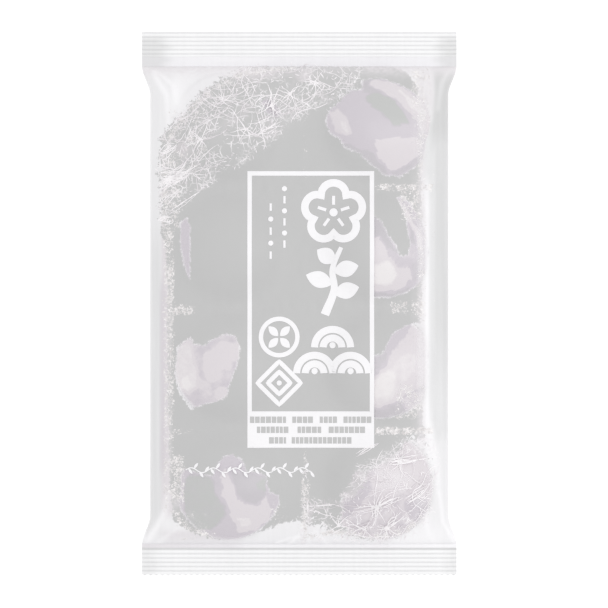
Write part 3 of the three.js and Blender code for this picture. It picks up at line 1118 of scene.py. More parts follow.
def make_sleeve(pack, shape):
    """The film from neck to neck: the printed face and the back, joined along their edges."""
    bm = bmesh.new()
    middle = (shape.head_neck + shape.foot_neck) / 2
    half = (shape.head_neck - shape.foot_neck) / 2

    def place_with(height, crowding):
        def place(u, v):
            y = middle + crowded(v, 0.35) * half
            x = crowded(u, crowding) * shape.half_width(y)
            return Vector((x, y, height(x, y)))

        return place

    floats = bm.verts.layers.float
    for name in ("ink", "glints", "net", "mist"):
        floats.new(name)
    bm.verts.layers.float_color.new("haze_and_light")
    ink, glints, net, mist = (floats[name] for name in ("ink", "glints", "net", "mist"))
    haze_and_light = bm.verts.layers.float_color["haze_and_light"]
    corners = [in_metres(outline) for outline in FIBRE_CORNERS]
    windows = [
        [centre + point for point in in_metres(outline)]
        for centre, outline in zip(shape.centres, WINDOWS)
    ]

    def print_on(vert):
        x, y = vert.co.x, vert.co.y
        vert[ink], window = print_depths(x, y, pack.label, windows)
        vert[glints] = glint_density(x, y)
        vert[net] = net_depth(x, y, corners)
        vert[mist] = mist_share(x, y, shape)
        vert[haze_and_light] = roof_haze_and_light(x, y, pack, shape, window)

    for vert in add_sheet(bm, ROOF_COLUMNS, SLEEVE_ROWS, place_with(shape.top_film, 0.4)):
        print_on(vert)
    for vert in add_sheet(bm, BASE_COLUMNS, SLEEVE_ROWS, place_with(shape.base, 0.8)):
        if shape.half_width(vert.co.y) - abs(vert.co.x) < 0.01 * MM:
            print_on(vert)
        else:
            raised = smoothstep(vert.co.z / shape.level)
            vert[ink] = vert[net] = -0.01
            vert[haze_and_light] = HazeAndPaintedLight(pack.colours.haze, mix(0.2, 0.75, raised)).value()
    weld(bm)
    ends = [edge for edge in bm.edges if edge.is_boundary]
    bmesh.ops.holes_fill(bm, edges=ends)
    bmesh.ops.recalc_face_normals(bm, faces=bm.faces)
    return bm


# How far in from the left and the right end of a seal the painted shade reaches, in millimetres, and
# how strong it is: head, foot.
SEAL_END_SHADE = ((9.0, 6.5, 0.42), (5.0, 2.6, 0.2))


def crimp_haze_and_light(x, y, pack, shape):
    """The look of an end seal: white, with painted shade as a grey line in each groove and towards its
    ends, and painted highlights on its flanges.
    """
    tints = pack.colours
    haze_and_light = HazeAndPaintedLight(tints.crimp, 0.97)
    flange = 1 - smoothstep(shape.rib_phase(y) / 0.2)
    haze_and_light.coat(tints.flange, flange)
    # Painted shade in the grooves.
    haze_and_light.coat(tints.groove, shape.groove(y) * 0.7)
    # Painted shade towards the seal's left and right ends.
    left_shade_reach, right_shade_reach, most = SEAL_END_SHADE[y < 0]
    fade = (left_shade_reach if x < 0 else right_shade_reach) * MM + 2.2 * MM * wobble(0, y, 1, 1.9 * MM, 21)
    edge = shape.seal_half - abs(x)
    kept = smoothstep((shape.head_edge - abs(y)) / (3.6 * MM)) if y > 0 else 1.0
    haze_and_light.coat(tints.painted_shade, (1 - smoothstep((edge - fade) / (7 * MM) + 0.5)) * most * kept)
    # A painted highlight on the head's flange, left of the middle.
    if y > 0:
        haze_and_light.coat(tints.painted_highlight, flange * bump(x + 27 * MM, 13 * MM) * 0.5)
    if y < 0:
        to_right = smoothstep((x + 50 * MM) / (40 * MM))
        # A painted highlight on the foot's flange, strongest to the right.
        haze_and_light.coat(tints.painted_highlight, flange * to_right * 0.8)
        haze_and_light.coat(tints.blush, flange * (1 - to_right) * 0.5)
        # Painted shade in a thin dark line where the foot's ribs begin.
        haze_and_light.coat(tints.painted_shade, bump(y - shape.foot_line + 0.4 * MM, 0.35 * MM) * 0.7)
    return haze_and_light.value()


def make_crimp(pack, shape, head):
    """One end seal: both films pressed together in ribs, with teeth along the foot's edge."""
    film = pack.film
    edge, neck = (shape.head_edge, shape.head_neck) if head else (shape.foot_edge, shape.foot_neck)
    tuck = -0.3 * MM if head else 0.3 * MM
    teeth = round(film.seal_width / film.tooth_pitch)
    rows = 76

    def place(u, v):
        tooth = 0 if head else abs(((u + 1) / 2 * teeth) % 1 - 0.5) * 2
        y = mix(neck + tuck, edge + film.tooth_depth * tooth, (v + 1) / 2)
        return Vector((u * shape.seal_half, y, shape.seal_middle(y) + film.seal_thickness / 2))

    bm = bmesh.new()
    haze_and_light = bm.verts.layers.float_color.new("haze_and_light")
    for vert in add_sheet(bm, 4 * teeth, rows, place):
        vert[haze_and_light] = crimp_haze_and_light(vert.co.x, vert.co.y, pack, shape)
    thicken(bm, film.seal_thickness)
    for vert in bm.verts:
        vert.co.x = min(shape.seal_half, max(-shape.seal_half, vert.co.x))
        vert.co.y = min(shape.head_edge, max(shape.foot_edge, vert.co.y))
    return bm


def make_back_seal(pack, shape):
    """The folded seal along the back, flat in the channel between the tray's columns."""
    film = pack.film
    ends = 3 * MM

    def place(u, v):
        y = mix(shape.foot_neck + ends, shape.head_neck - ends, (v + 1) / 2)
        x = shape.middle + u * film.fin_half + 0.25 * MM * wobble(0, y, 1, 21 * MM, 31)
        ribs = 0.05 * MM * math.sin(2 * math.pi * y / (1.6 * MM))
        low = shape.base(shape.middle, y) - 0.12 * MM
        return Vector((x, y, low + ribs + 0.06 * MM * wobble(x, y, 5 * MM, 14 * MM, 32)))

    bm = bmesh.new()
    haze_and_light = bm.verts.layers.float_color.new("haze_and_light")
    for vert in add_sheet(bm, 10, 700, place):
        off = abs(vert.co.x - shape.middle) / film.fin_half
        seal = HazeAndPaintedLight(pack.colours.crimp, 0.6)
        seal.coat(shown(214, 214, 215), bump(off - 1, 0.2) * 0.5)
        vert[haze_and_light] = seal.value()
    thicken(bm, 0.3 * MM)
    return bm


CELL_LIP = 1.3 * MM
# How far the tray stays under the film's roof and over its base, and how far from a cell's middle the
# low rib round it begins.
ROOF_GAP = 0.9 * MM
BASE_GAP = 0.3 * MM
RIB_START = 22.2 * MM


def tray_height(x, y, pack, shape):
    """The tray's upper face: a bowl under each cake, dividers between them and a flange round all."""
    tray = pack.tray
    away = min(math.hypot(x - c.x, y - c.y) for c in shape.centres)
    bowl = shape.underside(x, y, away - shape.room) - shape.room
    wall = smoothstep((away - shape.radius) / CELL_LIP)
    edge = min(
        tray.half_width - abs(x - pack.cakes.across), tray.half_length - abs(y - pack.cakes.along)
    )
    rim = mix(tray.rim, tray.divider, smoothstep((edge - 1.4 * MM) / (1.6 * MM)))
    rib = 0.3 * MM * smoothstep((away - RIB_START) / (2 * MM))
    height = mix(bowl, rim + rib, wall)
    ceiling = shape.roof(x, y) - ROOF_GAP
    return max(min(height, ceiling), shape.base(x, y) + tray.sheet + BASE_GAP)


def make_tray(pack, shape):
    """The thermoformed tray: one formed sheet with a cell for each cake."""
    tray, cakes = pack.tray, pack.cakes

    def place(u, v):
        along = v * tray.half_length
        past = max(0.0, abs(along) - (tray.half_length - tray.corner))
        half = tray.half_width - tray.corner + math.sqrt(tray.corner**2 - past**2 * 0.96)
        x, y = cakes.across + u * half, cakes.along + along
        return Vector((x, y, tray_height(x, y, pack, shape)))

    bm = bmesh.new()
    add_sheet(bm, 148, 250, place)
    thicken(bm, tray.sheet)
    return bm


# Each cake's plain tone, and the patches on it: a tone, how soft the patch's edge is, and its outline
# round the cake's middle, both in millimetres. Tones go from 0, dark filling close under the dough and
# painted shade, to 1, thick dusting and painted highlights. Foot row first, and left before right.
CAKES = (
    (0.46, (
        (0.52, 1.6, ((13, 4), (21, -2), (21, -14), (8, -21), (-4, -21), (-4, -15), (12, -12))),
        (0.5, 1.4, ((-5, 3), (-6, 14), (6, 14), (8, 6), (2, 5))),
        (0.7, 0.5, (
            (-3, 4.5), (-1, 6.5), (2, 0), (2.5, -3.5), (6, -6.5), (11, -7.5), (14, -4), (16, -9.5),
            (15.5, -13), (10, -17), (4, -18), (1.5, -14), (0.5, -9.5), (-2.5, -3.5),
        )),
        (0.3, 0.8, ((1.5, 5), (7, 5.5), (13.5, 3.5), (13.5, -3.5), (10.5, -6.5), (6, -5.5), (3, -3))),
        (0.04, 0.5, ((9.5, 1.5), (13.5, 3), (14, -2), (11, -2))),
        (0.88, 0.6, ((3, -12), (8, -12), (8.5, -14.5), (4, -16))),
        (0.1, 0.4, (
            (-16, 4.5), (-6.5, 4), (-5.5, -2.5), (-1.5, -7.5), (-2, -12), (-6.5, -17), (-12, -16.5),
            (-16, -12), (-17, -3.5),
        )),
        (0.6, 0.8, ((-20, -8), (-20, 5), (-17.5, 5), (-18, -8))),
    )),
    (0.64, (
        (0.78, 2.0, ((4, 6), (10, 20), (21, 12), (21, -8), (16, -6), (13, 9))),
        (0.8, 2.4, ((-1, 6.5), (4, 8), (13.5, 9), (14, 1), (9, -1.5), (1, -4), (-2, 1))),
        (0.46, 1.0, ((-14, -4), (-7, -1), (-4, 5), (-3, -1), (-9, -9), (-13, -13))),
        (0.52, 1.2, ((9, -6), (19, -4), (18, -12), (12, -14))),
    )),
    (0.6, (
        (0.86, 1.6, (
            (-21, 1.5), (-18.5, 8), (-15, 10), (-13.5, 5), (-12.5, 0.5), (-11, -6), (-15, -11),
            (-20, -7),
        )),
        (0.97, 1.4, ((-17.5, -4), (-15.5, -3.5), (-14, -7), (-15.5, -10), (-17.5, -8))),
        (0.74, 0.8, (
            (-9.5, -0.5), (-9, 5), (-4.5, 7.5), (-1, 10), (4, 8.5), (4, 4), (1, 0.5), (-3, -1.5),
            (-3.5, -5), (-7, -5.5),
        )),
        (0.66, 0.9, ((-12, -5), (-6.5, -6), (-7, -10), (-10.5, -8.5))),
        (0.76, 0.7, ((-5, -9), (-1.5, -8), (-1, -11.5), (-4, -13))),
    )),
    (0.38, (
        (0.48, 0.8, ((2.5, 5), (4, 16), (14, 18), (13, 12), (7, 4))),
        (0.66, 0.8, (
            (2.5, 2), (4.5, 5.5), (7.5, 9.6), (10.8, 13.2), (13, 17), (20, 14), (20, -7), (12.5, -9),
            (9, -12), (6, -14), (-5, -16), (-5, -5), (0, -2.5),
        )),
        (0.86, 3.0, (
            (-5, -15), (-4, -7), (0, -3), (3.5, -0.5), (7, 3.5), (11, 7), (15, 4.5), (14, -2),
            (9.5, -7), (5, -13), (0.5, -15.5),
        )),
        (0.95, 1.8, ((0.5, -2.5), (5.5, -1.5), (6.5, -6), (5, -10.5), (-3, -12.5), (-3.5, -7))),
        (0.62, 1.6, ((8, -12), (20, -7), (19, -16), (10, -17))),
    )),
    (0.52, ()),
    (0.55, (
        (0.3, 0.6, ((-4, 13), (1, 10), (4, 3), (8, -3), (4, -1), (-1, 3.5), (-4, 4.5))),
        (0.72, 0.6, (
            (-4, 4.5), (0, 3.5), (2, -0.5), (3.5, -4), (6.5, -7.5), (11, -8), (12.5, -12), (8, -16),
            (3, -17), (-4, -17),
        )),
        (0.97, 2.0, ((-3, -6.5), (3, -5.5), (6.5, -7.5), (7, -11), (4.5, -14.5), (-2, -14.5))),
        (0.4, 0.8, ((12, -6), (15.5, -4), (15.5, -12), (13, -13))),
        (0.34, 0.6, ((9.5, 15), (11.5, 9), (11.5, 2), (13.5, 1), (14, 8), (12, 13.5))),
        (0.84, 0.5, (
            (6.5, 18.5), (10, 14.5), (13, 9.5), (15.5, 4.5), (16.5, 0), (15.5, -1), (13.5, 4.5),
            (11, 9.5), (7.5, 14),
        )),
        (0.3, 1.6, ((-4, -17), (6, -17.5), (12, -15), (9, -20), (-4, -20))),
    )),
    (0.4, ()),
    (0.5, (
        (0.3, 1.2, ((-6, 19), (3, 18), (14, 10), (19, 3), (12, 5), (4, 12.5), (-6, 13))),
        (0.0, 0.25, (
            (-5.5, 12), (-0.5, 13), (3.5, 11.5), (6, 9.5), (9, 6), (11.5, 1.5), (6, 0.5), (3, 3),
            (0.5, 5.5), (-2.5, 7.5),
        )),
        (0.3, 1.6, ((-14, -6), (-3, -10), (2, -15), (4, -19), (-5, -17), (-16, -9))),
        (0.72, 0.25, (
            (-1.5, -5), (1.5, -4.5), (14.5, -3.5), (16.5, -5.5), (15.5, -10.5), (11, -14), (6, -17),
            (2.5, -15), (-0.5, -11.5),
        )),
        (0.4, 0.9, ((4, -17), (10, -14.5), (16, -10), (15, -17), (8, -21))),
        (0.68, 1.4, ((-19, 5.5), (-15.5, 7), (-12.5, 3.5), (-10.5, -2.5), (-13, -3.5), (-17, -1))),
        (0.86, 0.8, ((-14.5, 2.4), (-12.8, 1.6), (-11.4, -2), (-12.6, -2.8), (-14.2, -0.5))),
        (0.62, 1.0, ((15.5, -17), (17, -5.5), (15.5, 1), (19.5, 1), (19.5, -16))),
        (0.74, 0.9, (
            (-1.5, 18.3), (4.2, 17.3), (11.8, 13.5), (17.5, 8.8), (20, 4), (20, -1), (16, -1),
            (12.9, 4.5), (8.5, 8), (6.1, 10.8), (1.1, 13), (-4, 16),
        )),
        (0.9, 0.8, ((7, 14.5), (13, 11), (18, 6), (17.5, 1.5), (13.5, 6), (9.5, 11))),
    )),
)


def cake_tone(dx, dy, plain, patches, seed):
    """The dough's tone at a place on a cake, from 0 to 1, painted shade and highlights included."""
    tone = plain + 0.05 * wobble(dx, dy, 5 * MM, 5 * MM, seed)
    torn = 0.9 * MM * wobble(dx, dy, 3.2 * MM, 3.2 * MM, seed + 1)
    torn += 0.35 * MM * wobble(dx, dy, 1.1 * MM, 1.1 * MM, seed + 2)
    for value, softness, outline in patches:
        soft = softness * MM
        depth = overlap(dx, dy, outline, soft + 2 * MM)
        tone = mix(tone, value, smoothstep((depth + torn) / soft + 0.5))
    return clamp01(tone)


def make_cake(number, shape):
    """A round cake pressed a little out of true, its top just under the film."""
    seed = 40 + 3 * number
    rng = random.Random(seed)
    centre = shape.centres[number]
    plain, patches = CAKES[number]
    patches = [(value, softness, in_metres(outline)) for value, softness, outline in patches]
    lean = rng.uniform(0, 2 * math.pi)
    oval = rng.uniform(0.002, 0.006)
    bm = bmesh.new()
    bmesh.ops.create_icosphere(bm, subdivisions=6 if patches else 5, radius=1)
    tone = bm.verts.layers.float.new("tone")
    for vert in bm.verts:
        unit = vert.co.normalized()
        crown = unit.z > 0
        power = 2 / (CROWN_SQUARENESS if crown else BOWL_SQUARENESS)
        angle = math.atan2(unit.y, unit.x)
        reach = shape.cake_radius * math.hypot(unit.x, unit.y) ** power
        reach *= 1 - oval * (1 - math.cos(2 * (angle - lean)))
        dx, dy = reach * math.cos(angle), reach * math.sin(angle)
        x, y = centre.x + dx, centre.y + dy
        end = shape.top - 0.6 * MM if crown else shape.cake_floor
        z = mix(shape.waist(x, y), end, abs(unit.z) ** power)
        if crown:
            z += 0.2 * MM * wobble(dx, dy, 6 * MM, 6 * MM, seed)
            z += 0.04 * MM * wobble(dx, dy, MM, MM, seed + 1)
        vert.co = Vector((x, y, min(z, shape.roof(x, y) - 0.5 * MM)))
        vert[tone] = cake_tone(dx, dy, plain, patches, seed) if crown else plain
    bmesh.ops.recalc_face_normals(bm, faces=bm.faces)
    return bm


def make_starch(pack, shape):
    """Loose starch in small crumbs on the tray, thickest round the cakes' feet."""
    rng = random.Random(77)
    bm = bmesh.new()
    for _ in range(420):
        centre = rng.choice(shape.centres)
        angle, away = rng.uniform(0, 2 * math.pi), rng.gauss(22.2, 1.3) * MM
        x, y = centre.x + math.cos(angle) * away, centre.y + math.sin(angle) * away
        if abs(x - pack.cakes.across) > pack.tray.half_width - 3 * MM:
            continue
        if abs(y - pack.cakes.along) > pack.tray.half_length - 3 * MM:
            continue
        size = rng.uniform(0.16, 0.42) * MM
        crumb = bmesh.ops.create_icosphere(bm, subdivisions=1, radius=size)["verts"]
        z = min(tray_height(x, y, pack, shape) + size * 0.6, shape.roof(x, y) - size - 0.3 * MM)
        for vert in crumb:
            vert.co = vert.co * rng.uniform(0.75, 1.2) + Vector((x, y, z))
    return bm


# ---------------------------------------------------------------- the print


def make_label(pack, shape):
    """The label's white border and the white plate at its foot."""
    label = pack.label
    left, right = (label.label_across + side * label.label_width / 2 for side in (-1, 1))
    bottom, top = (label.label_along + side * label.label_length / 2 for side in (-1, 1))
    inner_left, inner_right = left + label.border, right - label.border
    cell = 0.85 * MM
    bm = bmesh.new()
    for sheet in (
        (left, inner_left, bottom, top),
        (inner_right, right, bottom, top),
        (inner_left, inner_right, top - label.border, top),
        (inner_left, inner_right, bottom, bottom + label.plate),
    ):
        lay_patch(bm, *sheet, shape, label.ink_lift, cell)
    weld(bm)
    thicken(bm, label.ink_sheet)
    return bm


# Grey bars on the plate: for each row its height over the label's foot, then each bar's start and end,
# all in millimetres from the label's left edge.
PLATE_BARS = (
    (10.6, ((1.0, 15.0), (17.0, 25.4), (27.4, 34.4), (36.4, 47.0))),
    (6.8, ((3.6, 16.6), (19.0, 28.6), (30.8, 45.0))),
    (2.8, ((8.2, 14.6), (16.8, 40.0))),
)
BAR_HALF = 1.2 * MM


def make_plate_bars(pack, shape):
    """Plain grey bars on the plate, broken into short blocks."""
    label = pack.label
    left = label.label_across - label.label_width / 2
    foot = label.label_along - label.label_length / 2
    rng = random.Random(5)
    bm = bmesh.new()
    for height, bars in PLATE_BARS:
        y = foot + height * MM
        for start, end in bars:
            x = start * MM
            while x < end * MM - 0.8 * MM:
                wide = min(rng.uniform(1.1, 1.9) * MM, end * MM - x)
                bottom, top = y - BAR_HALF, y + BAR_HALF
                lay_patch(bm, left + x, left + x + wide, bottom, top, shape, label.ink_lift * 1.7)
                x += wide + 0.34 * MM
    thicken(bm, label.ink_sheet)
    return bm


def petal_outline(centre, radius, petals, depth, steps, turn=0.0):
    """A closed blossom outline with rounded petals."""
    points = []
    for i in range(steps + 1):
        angle = 2 * math.pi * i / steps
        swell = abs(math.cos(petals * angle / 2)) ** 0.6
        reach = radius * (1 - depth + depth * swell)
        points.append(centre + toward(angle + turn) * reach)
    return points


def curve(points, steps):
    """A smooth run through a few points, by Catmull-Rom."""
    ends = [2 * points[0] - points[1], *points, 2 * points[-1] - points[-2]]
    made = []
    for i in range(1, len(ends) - 2):
        a, b, c, d = ends[i - 1 : i + 3]
        for step in range(steps):
            t = step / steps
            made.append(
                (2 * b + (c - a) * t + (2 * a - 5 * b + 4 * c - d) * t**2
                 + (3 * b - a - 3 * c + d) * t**3) / 2
            )
    return [*made, points[-1]]


def lay_leaf(bm, foot, tip, width, shape, lift):
    """A filled leaf from its foot to its tip."""
    steps = 12
    spine = [foot.lerp(tip, i / steps) for i in range(steps + 1)]

    def half_width(share):
        return width * max(0.04, math.sin(math.pi * share) ** 0.8)

    lay_strip(bm, spine, half_width, shape, lift, across=4)


def lay_blossom(bm, centre, radius, stroke, shape, lift):
    """An outlined five-petal blossom with a dot and short stamens."""
    turn = math.pi / 2
    outline = petal_outline(centre, radius, 5, 0.34, 80, turn)
    lay_strip(bm, outline, lambda share: stroke / 2, shape, lift, across=3)
    lay_dot(bm, centre, stroke * 0.55, shape, lift, 14)
    for petal in range(5):
        way = toward(turn + 2 * math.pi * petal / 5)
        stamen = [centre + way * radius * share for share in (0.26, 0.36, 0.46, 0.56)]
        lay_strip(bm, stamen, lambda share: stroke * 0.2, shape, lift)


def lay_sprig(bm, middle, size, stroke, shape, lift):
    """A bent twig with four leaves."""
    bends = ((-0.25, -1.1), (0.05, -0.3), (0.0, 0.4), (0.28, 1.1))
    stem = curve([middle + Vector(bend) * size for bend in bends], 8)
    lay_strip(bm, stem, lambda share: stroke * mix(0.42, 0.2, share), shape, lift, across=2)
    leaves = (
        ((0.05, -0.42), (0.86, -0.2)), ((0.0, -0.1), (-0.86, 0.2)),
        ((0.04, 0.3), (0.84, 0.5)), ((0.1, 0.62), (-0.5, 1.02)),
    )
    for leaf in leaves:
        foot, tip = (middle + Vector(end) * size for end in leaf)
        lay_leaf(bm, foot, tip, stroke * 0.78, shape, lift)


def lay_waves(bm, middle, size, stroke, shape, lift):
    """Three overlapping wave scales, each of nested arcs."""
    for at in ((-0.5, -0.42), (0.5, -0.42), (0.0, 0.3)):
        foot = middle + Vector(at) * size
        for share in (1.0, 0.52):
            arc = circle_points(foot, size * 0.5 * share, 26, 0.0, math.pi)
            lay_strip(bm, arc, lambda part: stroke * 0.4, shape, lift, across=2)
        lay_dot(bm, foot + Vector((0, size * 0.06)), stroke * 0.36, shape, lift, 12)


def lay_ring_flower(bm, centre, radius, stroke, shape, lift):
    """A ring round four leaf-shaped petals."""
    lay_strip(bm, circle_points(centre, radius, 60), lambda share: stroke / 2, shape, lift, across=2)
    for quarter in range(4):
        tip = centre + toward(math.pi / 4 + quarter * math.pi / 2) * radius * 0.82
        lay_leaf(bm, centre.lerp(tip, 0.1), tip, stroke * 0.85, shape, lift)


def lay_lozenge(bm, centre, size, stroke, shape, lift):
    """Two lozenge outlines, one inside the other, and a dot."""
    ways = ((1, 0), (0, 1), (-1, 0), (0, -1), (1, 0))
    steps = 10
    for share in (1.0, 0.52):
        corners = [centre + Vector(way) * size * share for way in ways]
        sides = zip(corners, corners[1:])
        line = [a.lerp(b, step / steps) for a, b in sides for step in range(steps)]
        lay_strip(bm, [*line, corners[0]], lambda part: stroke / 2, shape, lift)
    lay_dot(bm, centre, stroke * 0.6, shape, lift, 10)


def make_motifs(pack, shape):
    """White motifs in the label: three large, two middling and two columns of beads."""
    lift = pack.label.ink_lift
    bm = bmesh.new()
    lay_blossom(bm, Vector((13.0, 34.6)) * MM, 11.2 * MM, 2.9 * MM, shape, lift)
    lay_sprig(bm, Vector((12.6, 8.6)) * MM, 11.6 * MM, 4.0 * MM, shape, lift)
    lay_waves(bm, Vector((12.6, -20.6)) * MM, 13.6 * MM, 3.4 * MM, shape, lift)
    lay_ring_flower(bm, Vector((-7.6, -12.6)) * MM, 6.9 * MM, 1.7 * MM, shape, lift)
    lay_lozenge(bm, Vector((-7.6, -30.0)) * MM, 8.2 * MM, 1.7 * MM, shape, lift)
    for column, (x, first, last) in enumerate(((-5.6, 43.6, 22.6), (-10.8, 36.6, 18.4))):
        beads = 6 - column
        for bead in range(beads):
            at = Vector((x, mix(first, last, bead / (beads - 1)))) * MM
            if bead % 2 == column:
                lay_dot(bm, at, 1.0 * MM, shape, lift, 12)
            else:
                dash = [at + Vector((0, step * 0.7 * MM)) for step in (-2, -1, 0, 1, 2)]
                lay_strip(bm, dash, lambda share: 0.42 * MM, shape, lift)
    weld(bm)
    thicken(bm, pack.label.ink_sheet)
    return bm


def make_vine(pack, shape):
    """A thin running vine with small leaves, low on the left of the panel."""
    lift, wave = pack.label.ink_lift, 8.4 * MM
    left, right, level = -43 * MM, 5 * MM, -63 * MM
    bm = bmesh.new()

    def stem_at(x):
        return Vector((x, level + 0.9 * MM * math.sin(2 * math.pi * (x - left) / wave)))

    steps = 90
    stem = [stem_at(mix(left, right, i / steps)) for i in range(steps + 1)]
    lay_strip(bm, stem, lambda share: 0.2 * MM, shape, lift)
    for leaf in range(23):
        foot = stem_at(left + (leaf + 0.5) * wave / 4)
        up = 1 if leaf % 2 else -1
        lay_leaf(bm, foot, foot + Vector((1.5 * MM, up * 2.1 * MM)), 0.5 * MM, shape, lift)
    thicken(bm, pack.label.ink_sheet)
    return bm


# The two corners where paper fibres are printed, at the head and at the foot, the places where many
# threads meet, and the place that a corner's threads mostly run round, all in millimetres.
FIBRE_CORNERS = (
    (
        (-53, 29), (-53.5, 39.5), (-53.5, 54.5), (-53, 64), (-48.5, 69), (-44.5, 72.5), (-41, 76.5),
        (-37.5, 80), (-33, 83.5), (-26, 87.5), (-21.5, 90.4), (0.5, 91), (17.5, 91), (24, 89.5),
        (22.5, 84.5), (15.5, 78), (5.5, 74), (1, 69.5), (-5, 69), (-7.5, 63.5), (-11, 59.5),
        (-16.5, 55.5), (-22.5, 52.5), (-29.5, 50.5), (-33, 46), (-40, 41), (-47.5, 34.5),
    ),
    (
        (46, -50.5), (52, -52), (52.5, -67), (50.5, -79), (45.5, -86), (38.5, -90), (30, -91.4),
        (19.5, -91), (11.5, -89.5), (0.5, -91), (0.5, -74.5), (15.5, -74.5), (20, -66), (24, -60),
        (30.5, -57.5), (35, -52),
    ),
)
FIBRE_HUBS = (
    ((-20, 66), (-10.5, 75), (-3.5, 79.5), (-37, 62), (-29, 77), (6, 84)),
    ((29.5, -77), (29.5, -77.4), (38, -60), (33, -85), (15, -84)),
)
FIBRE_HEARTS = ((14, -42), (2, -22))

# Bright bundles of threads in each corner: start, end and spread in millimetres, and how many threads.
FIBRE_BUNDLES = (
    (
        ((-53.0, 45.6), (-38.0, 51.6), 1.8, 26), ((-52.6, 57.0), (-44.0, 61.0), 1.5, 8),
        ((-52.6, 32.4), (-46.6, 34.4), 1.4, 8), ((-48.6, 34.6), (-31.0, 47.2), 0.4, 3),
        ((-51.6, 38.0), (-44.0, 43.0), 0.9, 4), ((-16.0, 66.0), (-2.0, 71.0), 1.5, 4),
        ((-12.0, 70.0), (-9.0, 84.0), 1.6, 3),
    ),
    (
        ((3.7, -76.7), (17.4, -75.7), 0.15, 3), ((40.6, -75.0), (51.2, -67.0), 0.7, 6),
        ((22.0, -57.5), (33.0, -50.5), 0.5, 3), ((31.0, -77.0), (17.0, -79.6), 0.8, 4),
        ((30.0, -77.2), (39.0, -72.4), 0.8, 4), ((33.0, -86.6), (39.4, -79.0), 1.2, 6),
        ((0.8, -64.4), (4.4, -62.8), 0.3, 3), ((2.6, -66.0), (2.7, -61.0), 0.3, 3),
        ((2.8, -79.0), (3.0, -73.6), 0.3, 3), ((34.0, -60.0), (48.0, -58.0), 1.0, 5),
    ),
)


def wander(start, angle, reach, outline, rng):
    """A thread's crooked run from a place, until it is long enough or leaves the outline."""
    points, gone = [start], 0.0
    step, bend = 0.9 * MM, rng.gauss(0, 0.03)
    while gone < reach:
        angle += bend + rng.gauss(0, 0.17)
        ahead = points[-1] + toward(angle) * step
        if inside_outline(ahead.x, ahead.y, outline) < -0.8 * MM:
            break
        points.append(ahead)
        gone += step
    return points


def make_fibres(pack, shape, corner, threads, hairs, seed):
    """Printed paper fibres in one corner: threads, stars of short ones where many meet, and hairs."""
    rng = random.Random(seed)
    lift = pack.label.ink_lift
    outline, hubs = in_metres(FIBRE_CORNERS[corner]), in_metres(FIBRE_HUBS[corner])
    heart = Vector(FIBRE_HEARTS[corner]) * MM
    low = Vector((min(p.x for p in outline), min(p.y for p in outline)))
    high = Vector((max(p.x for p in outline), max(p.y for p in outline)))
    side = shape.body_half / MM - 3
    bm = bmesh.new()
    shade = bm.verts.layers.float.new("shade")

    def anywhere():
        while True:
            at = Vector((rng.uniform(low.x, high.x), rng.uniform(low.y, high.y)))
            depth = inside_outline(at.x, at.y, outline)
            if depth > 0:
                return at, depth

    def thread(points, width, taper, brightness):
        def half_width(share):
            return width / 2 * max(0.12, 1 - abs(2 * share - 1) ** taper)

        if len(points) > 2:
            for vert in lay_strip(bm, points, half_width, shape, lift):
                vert[shade] = brightness

    def bright():
        return clamp01(rng.gauss(0.75, 0.3))

    def twig(start, angle, reach, width, brightness, forks):
        """A crooked thread, with shorter ones that fork from it."""
        run = wander(start, angle, reach, outline, rng)
        thread(run, width, 4, brightness)
        if forks and len(run) > 3:
            for _ in range(rng.randint(0, 2)):
                at = rng.randrange(1, len(run) - 1)
                ahead = run[at + 1] - run[at - 1]
                aside = rng.choice((-1, 1)) * rng.uniform(0.5, 1.2)
                heading, share = math.atan2(ahead.y, ahead.x) + aside, rng.uniform(0.2, 0.5)
                twig(run[at], heading, reach * share, 0.85 * width, brightness, forks - 1)

    for _ in range(threads):
        at, _ = anywhere()
        away = at - heart
        along = math.atan2(away.x, -away.y)
        angle = along + rng.gauss(0, 0.35) if rng.random() < 0.7 else rng.uniform(0, math.pi)
        reach, width, brightness = rng.uniform(3, 17) * MM, rng.uniform(0.16, 0.32) * MM, bright()
        for way in (angle, angle + math.pi):
            twig(at, way, reach, width, brightness, 2)
    for hub in hubs:
        for vert in lay_dot(bm, hub, rng.uniform(0.5, 0.95) * MM, shape, lift, 9):
            vert[shade] = 0.8
        for _ in range(rng.randint(6, 9)):
            ray = wander(hub, rng.uniform(0, 2 * math.pi), rng.uniform(2.4, 7) * MM, outline, rng)
            if len(ray) > 2:
                half = rng.uniform(0.14, 0.24) * MM
                for vert in lay_strip(bm, ray, lambda share: half * (1 - 0.75 * share), shape, lift):
                    vert[shade] = 1.0
    for start, end, spread, count in FIBRE_BUNDLES[corner]:
        for _ in range(count):
            first, last = (
                Vector((rng.gauss(place[0], spread), rng.gauss(place[1], spread)))
                for place in (start, end)
            )
            last = first.lerp(last, rng.uniform(0.5, 1))
            first.x, last.x = (min(side, max(-side, end.x)) for end in (first, last))
            sway = Vector((rng.gauss(0, spread), rng.gauss(0, spread))) * 0.6
            kink = 0.008 * (last - first).length
            run = [
                at + Vector((rng.uniform(-kink, kink), rng.uniform(-kink, kink)))
                for at in curve([first, (first + last) / 2 + sway, last], 8)
            ]
            thread([at * MM for at in run], rng.uniform(0.16, 0.38) * MM, 4, 1.0)
    for _ in range(hairs):
        at, depth = anywhere()
        if depth > 7 * MM and rng.random() < 0.55:
            continue
        angle, long = rng.uniform(0, 2 * math.pi), rng.uniform(0.5, 2.2) * MM
        bend = rng.uniform(-0.9, 0.9)
        hair = [at]
        for _ in range(3):
            hair.append(hair[-1] + toward(angle) * long / 3)
            angle += bend / 3
        thread(hair, rng.uniform(0.2, 0.36) * MM, 3, bright())
    thicken(bm, pack.label.ink_sheet)
    return bm


# ---------------------------------------------------------------- the studio


